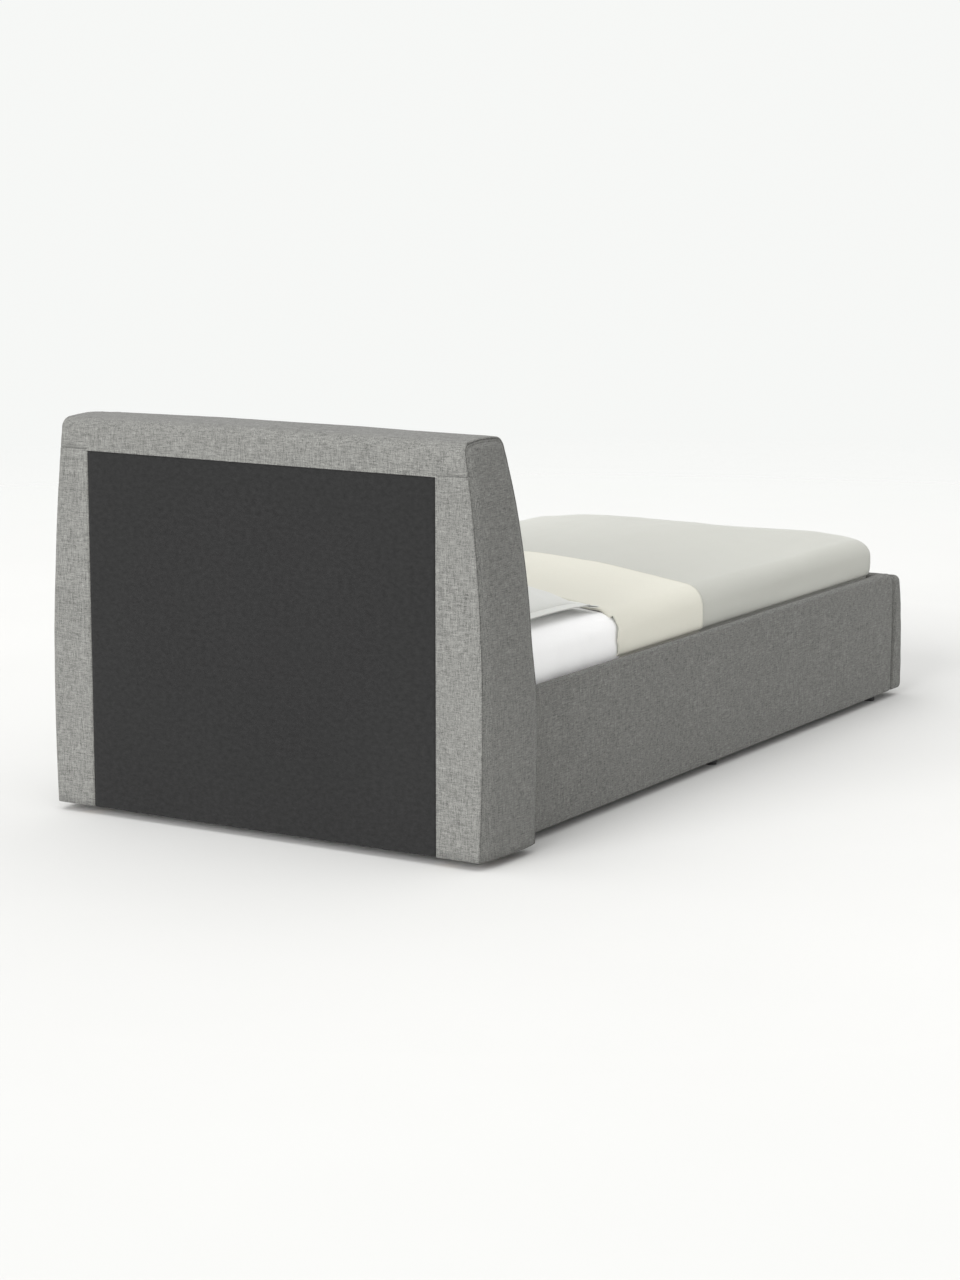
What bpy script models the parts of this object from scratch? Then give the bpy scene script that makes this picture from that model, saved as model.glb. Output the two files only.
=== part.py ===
"""Upholstered single storage bed with a lift-up slatted platform, in metres, +Z up.

+Y points to the headboard, -Y to the foot end, left is -X as seen from the foot end.
The origin lies on the floor under the middle of the bed.
"""
import math

import bmesh
import bpy
from mathutils import Matrix, Vector

# Fits shared by all pieces
SEAT = 0.0003            # gap between pieces that touch
OVERRUN = 0.004          # how far a cutter runs past what it cuts

# Mattress and the bay that holds it
MATTRESS_WIDTH = 1.000
MATTRESS_LENGTH = 2.000
MATTRESS_HEIGHT = 0.180
MATTRESS_CROWN = 0.008
MATTRESS_CROWN_REACH = 0.120
MATTRESS_SIDE_GAP = 0.012
MATTRESS_HEAD_GAP = 0.005
MATTRESS_FOOT_GAP = 0.022
MATTRESS_CORNER = 0.080
MATTRESS_EDGE = 0.022
MATTRESS_TUCK = 0.010

# Heights
FLOOR_GAP = 0.020        # under the upholstery
RAIL_TOP = 0.356
PLATFORM_TOP = 0.2625    # top of the slatted frame's bars

# Side rails
RAIL_BOARD = 0.018
RAIL_PAD = 0.0084
RAIL_CAP = 0.0085
RAIL_FLAP = 0.003
RAIL_FLAP_DROP = 0.066
RAIL_HEM = 0.003
RAIL_HEM_WIDTH = 0.020
RAIL_ROUND = 0.008
RAIL_END_REACH = 0.027       # the rounded corner at the foot end, along the rail
RAIL_END_DROP = 0.045        # and down
RAIL_END_TUCK = 0.007        # how far the pad draws in at the foot end
RAIL_END_WALL = 0.003
LEDGE_WIDTH = 0.020
LEDGE_HEIGHT = 0.016

# Headboard
HEADBOARD_WIDTH = 1.165
HEADBOARD_HEIGHT = 0.937
HEADBOARD_DEPTH = 0.2226
HEADBOARD_SET_BACK = 0.0806  # how much further back the front is at the top
HEADBOARD_TAPER = 0.044      # how much each side draws in at the top
HEADBOARD_WIDEST_Z = 0.240
HEADBOARD_CURVE_Z = 0.121    # the front is upright below this
HEADBOARD_EDGE = 0.005       # sewn edge along the side panels
HEADBOARD_SHOULDER = 0.028   # round of the top's long edges
HEADBOARD_CROWN = 0.0035
HEADBOARD_FOAM = 0.020
HEADBOARD_SIDE_PAD = 0.010
HEADBOARD_TOP_PAD = 0.012
HEADBOARD_BACK_STRIP = 0.003
BACK_STRIP_WIDTH = 0.1145    # fabric beside the back cloth
BACK_CLOTH_DROP = 0.0854     # from the headboard's top
BACK_CLOTH_THICK = 0.0015
FRONT_PANEL = 0.005
RIB_THICK = 0.018
TOP_RAIL_DEPTH = 0.045
TOP_RAIL_HEIGHT = 0.050
BOTTOM_RAIL_DEPTH = 0.020
BOTTOM_RAIL_HEIGHT = 0.060
BOLT_RAIL_DEPTH = 0.022
BOLT_RAIL_HEIGHT = 0.120
BOLT_RAIL_Z = 0.160

# Footboard
FOOTBOARD_DEPTH = 0.069
FOOTBOARD_TOP = 0.336
FOOTBOARD_BOW = 0.027
FOOTBOARD_BOW_Z = 0.140
FOOTBOARD_SHOULDER = 0.026
FOOTBOARD_EDGE = 0.016
FOOTBOARD_INNER_EDGE = 0.012
FOOTBOARD_BOARD = 0.018
FOOTBOARD_LINING = 0.003
FOOTBOARD_TOP_PAD = 0.012
FOOTBOARD_SIDE_PAD = 0.012

# Floor of the storage compartment
FLOOR_PANEL = 0.008
BEARER_WIDTH = 0.070
GLIDE_RADIUS = 0.0175
GLIDE_INSET = 0.062      # from the headboard's face or the footboard's
BRACKET_LEG = 0.050
BRACKET_HEIGHT = 0.120
BRACKET_Z = 0.100
BRACKET_THICK = 0.003
BOLT_HOLE = 0.004

# Slatted platform
BAR_WIDTH = 0.028
BAR_HEIGHT = 0.040
BAR_ROUND = 0.003
PLATFORM_HEAD_INSET = 0.005
SLAT_COUNT = 10
SLAT_WIDTH = 0.070
SLAT_THICK = 0.008
SLAT_ARCH = 0.004
SLAT_END_MARGIN = 0.055
SLAT_CAP = 0.0025
SLAT_CAP_LENGTH = 0.040
STOP_ROD = 0.004
STOP_HALF_WIDTH = 0.105
STOP_RISE = 0.044
STOP_BEND = 0.030
STRAP_HALF_LENGTH = 0.080
STRAP_WIDTH = 0.026
STRAP_THICK = 0.002
STRAP_LOOP = 0.011

# Lift hardware: places in the side view, from the lift arm's two pivots
PLATFORM_PIVOT_FROM_HEAD = 0.450     # from the mattress's head end
PLATFORM_PIVOT_BELOW_TOP = 0.0125    # below the top of the bars
LIFT_ARM_LENGTH = 0.320
LIFT_ARM_REST = math.radians(20.0)
GUIDE_FOOT_BACK = 0.1492
GUIDE_FOOT_DROP = 0.0550
GUIDE_HEAD_BACK = 0.0520
GUIDE_HEAD_DROP = 0.0299
STRUT_ANCHOR_BACK = 0.3773
STRUT_ANCHOR_DROP = 0.0650
STRUT_LEVER_BACK = 0.0173
STRUT_LEVER_DROP = 0.0699

# Lift hardware: thicknesses, from the rail inwards
BASE_THICK = 0.003
ARM_THICK = 0.005
RIVET_HEAD = 0.0015
PLATE_THICK = 0.004
ARM_TO_BASE = 0.0027
PIVOT_PIN = 0.0070
PIVOT_PLAY = 0.0004
PIVOT_HEAD = 0.0110
ARM_EYE = 0.0170
ARM_WAIST = 0.0120
LEVER_EYE = 0.0130
BASE_MARGIN = 0.020
BASE_LOW_MARGIN = 0.0200
BASE_HUMP = 0.030
PLATE_MARGIN = 0.016
STRUT_RADIUS = 0.0095
STRUT_ROD = 0.0040
STRUT_BORE = 0.0046
STRUT_BORE_DEPTH = 0.110
STRUT_GRIP = 0.075       # how much of the rod is inside at rest
STRUT_SOCKET = 0.0095
STRUT_SOCKET_WIDTH = 0.020
STRUT_STUD = 0.0045
STRUT_LANE = 0.0120      # from the platform's plate to the strut's axis

# Bedding on the mattress
DUVET_THICK = 0.0055
DUVET_BULGE = 0.0070
DUVET_CROWN = 0.043
DUVET_CROWN_REACH = 0.440
DUVET_EDGE_LIFT = 0.007
DUVET_CORNER = 0.100
DUVET_SHOULDER = 0.030
DUVET_HEM = 0.030        # how far it reaches below the rail's top
SHEET_THICK = 0.004
SHEET_FROM_HEAD = 0.494
SHEET_BAND = 0.433
PILLOW_WIDTH = 0.900
PILLOW_DEPTH = 0.474
PILLOW_HEIGHT = 0.092
PILLOW_FROM_HEAD = 0.013
PILLOW_RIM = 0.034
PILLOW_RIM_THICK = 0.006
PILLOW_LIFT = 0.014      # how high the flange lies above the mattress
PILLOW_TIP = 0.012       # how much higher its corners lie
PILLOW_DRAW = 0.014      # how far the middle of each side is drawn in

# Shares and shapes without a size
CROWN_ROUNDING_SHARE = 0.75
GLIDE_FOOT_SHARE = 0.86
BRACKET_HOLE_SHARES = (0.25, 0.75)
BRACKET_HOLE_REACH_SHARE = 0.6
CROWN_PLACE_SHARES = ((0.35, 0.72), (0.75, 1.0))     # of the flat top's half depth, and of its crown
BASE_HOLE_SHARES = (0.25, 0.55, 0.95)
STRAP_FLAT_SHARE = 0.19  # of half the strap's length, screwed to the bar
STRAP_RAMP_SHARE = 0.40  # of half the strap's length, where it leaves the bar

# Counts of steps
ARC_STEPS = 5
RING_STEPS = 6
ROUND_STEPS = 24
HEIGHT_STEPS = 12
SIDE_STEPS = 4
CROWN_STEPS = 6
PILLOW_CELLS = (20, 14)

# Places worked out from the sizes above
BAY_LENGTH = MATTRESS_LENGTH + MATTRESS_HEAD_GAP + MATTRESS_FOOT_GAP
LENGTH = HEADBOARD_DEPTH + BAY_LENGTH + FOOTBOARD_DEPTH
BACK_Y = LENGTH / 2
HEAD_Y = BACK_Y - HEADBOARD_DEPTH
FOOT_Y = HEAD_Y - BAY_LENGTH
BACK_CLOTH_TOP = HEADBOARD_HEIGHT - BACK_CLOTH_DROP
BACK_CLOTH_WIDTH = HEADBOARD_WIDTH - 2 * BACK_STRIP_WIDTH
RAIL_IN_X = MATTRESS_WIDTH / 2 + MATTRESS_SIDE_GAP
BOARD_IN_X = RAIL_IN_X + RAIL_FLAP + SEAT
BOARD_OUT_X = BOARD_IN_X + RAIL_BOARD
RAIL_OUT_X = BOARD_OUT_X + SEAT + RAIL_PAD
BOARD_BOTTOM_Z = FLOOR_GAP + RAIL_HEM + SEAT
BOARD_TOP_Z = RAIL_TOP - RAIL_CAP - SEAT
LEDGE_TOP_Z = BOARD_BOTTOM_Z + LEDGE_HEIGHT
MATTRESS_HEAD_Y = HEAD_Y - MATTRESS_HEAD_GAP
MATTRESS_FOOT_Y = MATTRESS_HEAD_Y - MATTRESS_LENGTH
MATTRESS_BOTTOM_Z = PLATFORM_TOP + SEAT + SLAT_THICK + SLAT_ARCH + SEAT
MATTRESS_TOP_Z = MATTRESS_BOTTOM_Z + MATTRESS_HEIGHT
BASE_IN_X = BOARD_IN_X - SEAT - BASE_THICK
ARM_OUT_X = BASE_IN_X - ARM_TO_BASE
ARM_IN_X = ARM_OUT_X - ARM_THICK
GUIDE_OUT_X = ARM_IN_X - SEAT - RIVET_HEAD - SEAT
GUIDE_IN_X = GUIDE_OUT_X - ARM_THICK
PLATE_OUT_X = GUIDE_IN_X - 2 * SEAT
PLATE_IN_X = PLATE_OUT_X - PLATE_THICK
BAR_OUT_X = PLATE_IN_X - SEAT
BAR_IN_X = BAR_OUT_X - BAR_WIDTH
BAR_BOTTOM_Z = PLATFORM_TOP - BAR_HEIGHT
STRUT_X = PLATE_IN_X - STRUT_LANE
SOCKET_OUT_X = STRUT_X + STRUT_SOCKET_WIDTH / 2
PLATFORM_HEAD_Y = MATTRESS_HEAD_Y - PLATFORM_HEAD_INSET

# Pivots in the side view, as (y, z)
PLATFORM_PIVOT = Vector((MATTRESS_HEAD_Y - PLATFORM_PIVOT_FROM_HEAD, PLATFORM_TOP - PLATFORM_PIVOT_BELOW_TOP))
LIFT_PIVOT = PLATFORM_PIVOT - LIFT_ARM_LENGTH * Vector((math.cos(LIFT_ARM_REST), math.sin(LIFT_ARM_REST)))
GUIDE_PIVOT = LIFT_PIVOT - Vector((GUIDE_FOOT_BACK, GUIDE_FOOT_DROP))
GUIDE_TOP = PLATFORM_PIVOT - Vector((GUIDE_HEAD_BACK, GUIDE_HEAD_DROP))
STRUT_ANCHOR = LIFT_PIVOT - Vector((STRUT_ANCHOR_BACK, STRUT_ANCHOR_DROP))
STRUT_LEVER = LIFT_PIVOT - Vector((STRUT_LEVER_BACK, STRUT_LEVER_DROP))

COLORS = {
    "back_fabric": ((0.36, 0.36, 0.35), 0.95, 0.0),
    "dark_cloth": ((0.045, 0.045, 0.046), 0.95, 0.0),
    "plywood": ((0.62, 0.47, 0.30), 0.60, 0.0),
    "hardboard": ((0.30, 0.19, 0.11), 0.70, 0.0),
    "timber": ((0.72, 0.56, 0.37), 0.60, 0.0),
    "floor_board": ((0.62, 0.61, 0.58), 0.60, 0.0),
    "birch": ((0.78, 0.64, 0.44), 0.50, 0.0),
    "steel": ((0.42, 0.43, 0.44), 0.35, 1.0),
    "black_steel": ((0.04, 0.04, 0.045), 0.45, 0.6),
    "chrome": ((0.75, 0.76, 0.78), 0.12, 1.0),
    "black_plastic": ((0.03, 0.03, 0.03), 0.55, 0.0),
    "webbing": ((0.05, 0.05, 0.05), 0.85, 0.0),
    "white_sheet": ((0.86, 0.86, 0.87), 0.90, 0.0),
    "duvet_grey": ((0.66, 0.66, 0.63), 0.90, 0.0),
    "sheet_beige": ((0.76, 0.72, 0.62), 0.90, 0.0),
    "pillow_grey": ((0.70, 0.71, 0.69), 0.90, 0.0),
}


def clear_scene():
    """Removes what the scene holds."""
    for obj in list(bpy.data.objects):
        bpy.data.objects.remove(obj, do_unlink=True)


def new_collection(name):
    """Makes a collection in the scene."""
    found = bpy.data.collections.new(name)
    bpy.context.scene.collection.children.link(found)
    return found


def make_material(name):
    """Makes the Principled material of one finish."""
    color, rough, metal = COLORS[name]
    mat = bpy.data.materials.new(name)
    mat.use_nodes = True
    shader = mat.node_tree.nodes["Principled BSDF"]
    shader.inputs["Base Color"].default_value = (*color, 1.0)
    shader.inputs["Roughness"].default_value = rough
    shader.inputs["Metallic"].default_value = metal
    mat.diffuse_color = (*color, 1.0)
    return mat


clear_scene()
BED = new_collection("storage_bed")
CUTTERS = new_collection("cutters")
MATERIALS = {name: make_material(name) for name in COLORS}


def add_object(name, mesh, finish, collection=None):
    """Links a mesh object with its finish."""
    obj = bpy.data.objects.new(name, mesh)
    (collection or BED).objects.link(obj)
    if finish:
        mesh.materials.clear()
        mesh.materials.append(MATERIALS[finish])
    return obj


def add_axis(name, place):
    """An empty on a joint's axis, which runs along X through the side view's point."""
    empty = bpy.data.objects.new(name, None)
    empty.location = (0, place.x, place.y)
    BED.objects.link(empty)
    return empty


def hang_on(obj, axis):
    """Parents a piece to its axis and keeps its place."""
    obj.parent = axis
    obj.location = obj.location - axis.location


def finish_mesh(bm, name):
    """Turns a bmesh into a mesh with outward faces."""
    bmesh.ops.recalc_face_normals(bm, faces=bm.faces)
    mesh = bpy.data.meshes.new(name)
    bm.to_mesh(mesh)
    bm.free()
    return mesh


def box_mesh(name, size):
    """A box of a real size about its own middle."""
    bm = bmesh.new()
    bmesh.ops.create_cube(bm, size=1.0, matrix=Matrix.Diagonal((*size, 1.0)))
    return finish_mesh(bm, name)


def add_box(name, low, high, finish, rounding=0.0, collection=None):
    """A box between two corners, its edges rounded."""
    low, high = Vector(low), Vector(high)
    obj = add_object(name, box_mesh(name, high - low), finish, collection)
    obj.location = (low + high) / 2
    if rounding > 0:
        bevel = obj.modifiers.new("round", "BEVEL")
        bevel.width = rounding
        bevel.segments = 2
    return obj


def add_pin(name, radius, low_x, high_x, place, finish, collection=None, steps=ROUND_STEPS):
    """A cylinder along X at a point of the side view."""
    bm = bmesh.new()
    turn = Matrix.Rotation(math.radians(90), 4, "Y")
    bmesh.ops.create_cone(bm, cap_ends=True, segments=steps, radius1=radius, radius2=radius,
                          depth=high_x - low_x, matrix=turn)
    obj = add_object(name, finish_mesh(bm, name), finish, collection)
    obj.location = ((low_x + high_x) / 2, place.x, place.y)
    return obj


def cutter(obj):
    """Hides a cutter and shows it as a wire."""
    obj.hide_render = True
    obj.display_type = "WIRE"
    return obj


def combine(obj, other, operation):
    """Joins or cuts with an exact Boolean, applied at once."""
    bpy.context.view_layer.update()
    mod = obj.modifiers.new(operation.lower(), "BOOLEAN")
    mod.operation = operation
    mod.solver = "EXACT"
    mod.object = other
    bpy.context.view_layer.update()
    graph = bpy.context.evaluated_depsgraph_get()
    mesh = bpy.data.meshes.new_from_object(obj.evaluated_get(graph))
    obj.modifiers.clear()
    obj.data = mesh
    return obj


def join(obj, *others):
    """Unites pieces that are one solid and removes what was joined."""
    for other in others:
        combine(obj, other, "UNION")
        bpy.data.objects.remove(other, do_unlink=True)
    return obj


def cut(obj, *others):
    """Cuts with objects that stay as hidden cutters."""
    for other in others:
        combine(obj, cutter(other), "DIFFERENCE")
    return obj


def extruded(name, outline, low, high, axis, finish, collection=None):
    """A flat outline given as (a, b) points, extruded from low to high along X, Y or Z.

    Along X the points are (y, z), along Y they are (x, z) and along Z they are (x, y).
    """
    curve = bpy.data.curves.new(name, "CURVE")
    curve.dimensions = "2D"
    curve.fill_mode = "BOTH"
    curve.extrude = (high - low) / 2
    spline = curve.splines.new("POLY")
    spline.points.add(len(outline) - 1)
    for point, (a, b) in zip(spline.points, outline):
        point.co = (a, b, 0, 1)
    spline.use_cyclic_u = True
    frames = {
        "X": Matrix(((0, 0, 1, 0), (1, 0, 0, 0), (0, 1, 0, 0), (0, 0, 0, 1))),
        "Y": Matrix(((1, 0, 0, 0), (0, 0, -1, 0), (0, 1, 0, 0), (0, 0, 0, 1))),
        "Z": Matrix.Identity(4),
    }
    flat = bpy.data.objects.new(name, curve)
    BED.objects.link(flat)
    bpy.context.view_layer.update()
    graph = bpy.context.evaluated_depsgraph_get()
    mesh = bpy.data.meshes.new_from_object(flat.evaluated_get(graph))
    bpy.data.objects.remove(flat, do_unlink=True)
    middle = {"X": (1, 0, 0), "Y": (0, 1, 0), "Z": (0, 0, 1)}[axis]
    shift = Vector(middle) * (low + high) / 2
    bm = bmesh.new()
    bm.from_mesh(mesh)
    bpy.data.meshes.remove(mesh)
    bmesh.ops.transform(bm, matrix=Matrix.Translation(shift) @ frames[axis], verts=bm.verts)
    bmesh.ops.remove_doubles(bm, verts=bm.verts, dist=SEAT / 10)
    return add_object(name, finish_mesh(bm, name), finish, collection)


def arc(middle, radius, start, end, steps=ARC_STEPS):
    """Points on an arc, angles in degrees."""
    turns = [math.radians(start + (end - start) * i / steps) for i in range(steps + 1)]
    return [(middle[0] + radius * math.cos(t), middle[1] + radius * math.sin(t)) for t in turns]


def capsule(start, end, start_radius, end_radius, steps=8):
    """Outline round two circles and the straight sides between them."""
    along = end - start
    lean = math.degrees(math.atan2(along.y, along.x))
    skew = math.degrees(math.asin((start_radius - end_radius) / along.length))
    first = arc(start, start_radius, lean + 90 - skew, lean + 270 + skew, steps)
    second = arc(end, end_radius, lean - 90 + skew, lean + 90 - skew, steps)
    return first + second


def rounded_rectangle(half_x, low_y, high_y, radius, steps=RING_STEPS):
    """Points of a rounded rectangle, anticlockwise from its +X side."""
    x, low, high = half_x - radius, low_y + radius, high_y - radius
    points = []
    for mid, start in (((x, high), 0), ((-x, high), 90), ((-x, low), 180), ((x, low), 270)):
        points += arc(mid, radius, start, start + 90, steps)
    return points


def loft(name, rings, finish, collection=None):
    """A closed solid through rings of as many points each, capped at both ends."""
    bm = bmesh.new()
    rows = [[bm.verts.new(point) for point in ring] for ring in rings]
    for lower, upper in zip(rows, rows[1:]):
        for i in range(len(lower)):
            j = (i + 1) % len(lower)
            bm.faces.new((lower[i], lower[j], upper[j], upper[i]))
    bm.faces.new(rows[0])
    bm.faces.new(rows[-1])
    return add_object(name, finish_mesh(bm, name), finish, collection)


def soften(obj):
    """Shades round forms smooth and keeps sharp edges."""
    obj.data.shade_smooth()
    obj.data.set_sharp_from_angle(angle=math.radians(35))
    return obj


def mirrored(side, low_x, high_x):
    """The X span of a piece on the left, -1, or on the right, 1."""
    return (low_x, high_x) if side > 0 else (-high_x, -low_x)


def headboard_front(z):
    """Y of the headboard's front at a height: upright, then leaning back with the cube of the height."""
    span = HEADBOARD_HEIGHT - HEADBOARD_CURVE_Z
    rise = max(0.0, (z - HEADBOARD_CURVE_Z) / span)
    return HEAD_Y + HEADBOARD_SET_BACK * rise ** 3


def headboard_half_width(z):
    """Half the headboard's width at a height: a shallow parabola, widest low down."""
    reach = (z - HEADBOARD_WIDEST_Z) / (HEADBOARD_HEIGHT - HEADBOARD_WIDEST_Z)
    return HEADBOARD_WIDTH / 2 - HEADBOARD_TAPER * reach ** 2


def headboard_rings():
    """Level sections of the headboard from its bottom to its rounded top."""
    rings = []
    crown_z = HEADBOARD_HEIGHT - HEADBOARD_CROWN
    shoulder_z = crown_z - HEADBOARD_SHOULDER
    heights = [FLOOR_GAP + (shoulder_z - FLOOR_GAP) * i / HEIGHT_STEPS for i in range(HEIGHT_STEPS + 1)]
    for z in heights:
        outline = rounded_rectangle(headboard_half_width(z), headboard_front(z), BACK_Y, HEADBOARD_EDGE, 3)
        rings.append([(x, y, z) for x, y in outline])
    levels = []
    for i in range(1, ARC_STEPS + 1):
        turn = math.radians(90 * i / ARC_STEPS)
        round_share = 1 - math.cos(turn)
        levels.append((shoulder_z + HEADBOARD_SHOULDER * math.sin(turn), HEADBOARD_SHOULDER * round_share,
                       HEADBOARD_EDGE * round_share))
    flat_top = (BACK_Y - headboard_front(crown_z)) / 2 - HEADBOARD_SHOULDER - HEADBOARD_EDGE
    for place, rise in CROWN_PLACE_SHARES:
        levels.append((crown_z + HEADBOARD_CROWN * rise, HEADBOARD_SHOULDER + flat_top * place, HEADBOARD_EDGE))
    for z, inset, side_inset in levels:
        outline = rounded_rectangle(headboard_half_width(z) - side_inset, headboard_front(z) + inset,
                                    BACK_Y - inset, HEADBOARD_EDGE, 3)
        rings.append([(x, y, z) for x, y in outline])
    return rings


def chord_front(z):
    """Y of the front on straight chords between shared heights, so that nested pieces keep their gap."""
    step = (HEADBOARD_HEIGHT - HEADBOARD_CURVE_Z) / HEIGHT_STEPS
    below = HEADBOARD_CURVE_Z + step * math.floor((z - HEADBOARD_CURVE_Z) / step)
    share = (z - below) / step
    return headboard_front(below) * (1 - share) + headboard_front(below + step) * share


def headboard_section(front_gap, back_gap, low_z, high_z):
    """Side outline inside the headboard, set in from its front and its back."""
    step = (HEADBOARD_HEIGHT - HEADBOARD_CURVE_Z) / HEIGHT_STEPS
    shared = [HEADBOARD_CURVE_Z + step * i for i in range(HEIGHT_STEPS)]
    heights = [low_z, *[z for z in shared if low_z + SEAT < z < high_z - SEAT], high_z]
    front = [(chord_front(z) + front_gap, z) for z in heights]
    return [(BACK_Y - back_gap, low_z), *front, (BACK_Y - back_gap, high_z)]


CAVITY_X = headboard_half_width(HEADBOARD_HEIGHT) - HEADBOARD_SIDE_PAD
CAVITY_TOP = HEADBOARD_HEIGHT - HEADBOARD_TOP_PAD
PANEL_BACK = HEADBOARD_FOAM + SEAT + FRONT_PANEL
TIMBER_BACK = HEADBOARD_BACK_STRIP + SEAT
FRAME_TOP = CAVITY_TOP - SEAT - HEADBOARD_SHOULDER / 2
RIB_IN_X = CAVITY_X - SEAT - RIB_THICK


def make_headboard_cover():
    """Fabric and foam: a shell that is open below and behind the back cloth."""
    cover = loft("headboard_cover", headboard_rings(), "back_fabric")
    hollow = extruded("headboard_hollow",
                      headboard_section(HEADBOARD_FOAM, HEADBOARD_BACK_STRIP, FLOOR_GAP - OVERRUN,
                                        FRAME_TOP + SEAT),
                      -CAVITY_X, CAVITY_X, "X", None, CUTTERS)
    window = add_box("back_window", (-BACK_CLOTH_WIDTH / 2, BACK_Y - 2 * HEADBOARD_BACK_STRIP, FLOOR_GAP - OVERRUN),
                     (BACK_CLOTH_WIDTH / 2, BACK_Y + OVERRUN, BACK_CLOTH_TOP), None, 0.0, CUTTERS)
    return soften(cut(cover, hollow, window))


def make_headboard_frame():
    """Bent front panel, profiled sides, a rib and the bars between them."""
    low = FLOOR_GAP + RAIL_HEM
    panel_outer = headboard_section(HEADBOARD_FOAM + SEAT, 0, low, FRAME_TOP)[1:-1]
    panel_inner = headboard_section(PANEL_BACK, 0, low, FRAME_TOP)[1:-1]
    soften(extruded("headboard_front_panel", panel_outer + panel_inner[::-1],
                    -CAVITY_X + SEAT, CAVITY_X - SEAT, "X", "hardboard"))
    side = headboard_section(PANEL_BACK + SEAT, TIMBER_BACK, low, FRAME_TOP)
    for label, sign in (("left", -1), ("right", 1)):
        span = mirrored(sign, RIB_IN_X, RIB_IN_X + RIB_THICK)
        extruded("headboard_side_" + label, side, *span, "X", "plywood")
    top_rail_z = FRAME_TOP - TOP_RAIL_HEIGHT
    bar_x = RIB_IN_X - SEAT
    timber_y = BACK_Y - TIMBER_BACK
    add_box("headboard_top_rail", (-bar_x, timber_y - TOP_RAIL_DEPTH, top_rail_z),
            (bar_x, timber_y, FRAME_TOP), "timber", BAR_ROUND)
    add_box("headboard_bottom_rail", (-bar_x, timber_y - BOTTOM_RAIL_DEPTH, low),
            (bar_x, timber_y, low + BOTTOM_RAIL_HEIGHT), "timber", BAR_ROUND)
    bolt_top = BOLT_RAIL_Z + BOLT_RAIL_HEIGHT
    bolt_y = headboard_front(bolt_top) + PANEL_BACK + SEAT
    add_box("headboard_bolt_rail", (-bar_x, bolt_y, BOLT_RAIL_Z), (bar_x, bolt_y + BOLT_RAIL_DEPTH, bolt_top),
            "timber", BAR_ROUND)
    rib = headboard_section(PANEL_BACK + SEAT, TIMBER_BACK, bolt_top + SEAT, top_rail_z - SEAT)
    extruded("headboard_center_rib", rib, -RIB_THICK / 2, RIB_THICK / 2, "X", "plywood")


def make_back_cloth():
    """Dark cloth in the window of the cover's back."""
    y = BACK_Y - HEADBOARD_BACK_STRIP + SEAT
    add_box("headboard_back_cloth", (-BACK_CLOTH_WIDTH / 2 + SEAT, y, FLOOR_GAP),
            (BACK_CLOTH_WIDTH / 2 - SEAT, y + BACK_CLOTH_THICK, BACK_CLOTH_TOP - SEAT), "dark_cloth")


def rail_end_drop(reach, drop, from_end):
    """How far the rounded corner at the foot end lies below the top, at a distance from the end."""
    share = max(0.0, 1 - from_end / reach)
    return drop * (1 - math.sqrt(1 - share ** 2))


def rail_cover_rings(sign, low_y, high_y):
    """Upright sections of a rail's cover from its foot end, where its top and its outside draw in."""
    turns = [math.radians(90 * i / ARC_STEPS) for i in range(ARC_STEPS + 1)]
    places = {RAIL_END_REACH * (1 - math.cos(turn)) for turn in turns}
    places |= {RAIL_END_TUCK * (1 - math.cos(turn)) for turn in turns[1::2]}
    rings = []
    for from_end in [*sorted(places), high_y - low_y]:
        top_z = RAIL_TOP - rail_end_drop(RAIL_END_REACH, RAIL_END_DROP, from_end)
        out_x = RAIL_OUT_X - rail_end_drop(RAIL_END_TUCK, RAIL_END_TUCK, from_end)
        section = arc((out_x - RAIL_ROUND, FLOOR_GAP + RAIL_ROUND), RAIL_ROUND, -90, 0, 3)
        section += arc((out_x - RAIL_ROUND, top_z - RAIL_ROUND), RAIL_ROUND, 0, 90, 4)
        section += arc((RAIL_IN_X + RAIL_ROUND, top_z - RAIL_ROUND), RAIL_ROUND, 90, 180, 4)
        section.append((RAIL_IN_X, FLOOR_GAP))
        rings.append([(sign * x, low_y + from_end, z) for x, z in section])
    return rings


def beyond_rail_end(name, low_y, top_z, reach, drop):
    """What lies outside the rounded corner at a rail's foot end, as a cutter across both rails' width."""
    turns = [math.radians(90 * i / ARC_STEPS) for i in range(ARC_STEPS + 1)]
    curve = [(low_y + reach * (1 - math.cos(turn)), top_z - drop * (1 - math.sin(turn))) for turn in turns]
    outline = [(low_y - OVERRUN, top_z + OVERRUN), (low_y - OVERRUN, top_z - drop), *curve,
               (low_y + reach, top_z + OVERRUN)]
    return extruded(name, outline, -RAIL_OUT_X - OVERRUN, RAIL_OUT_X + OVERRUN, "X", None, CUTTERS)


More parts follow.
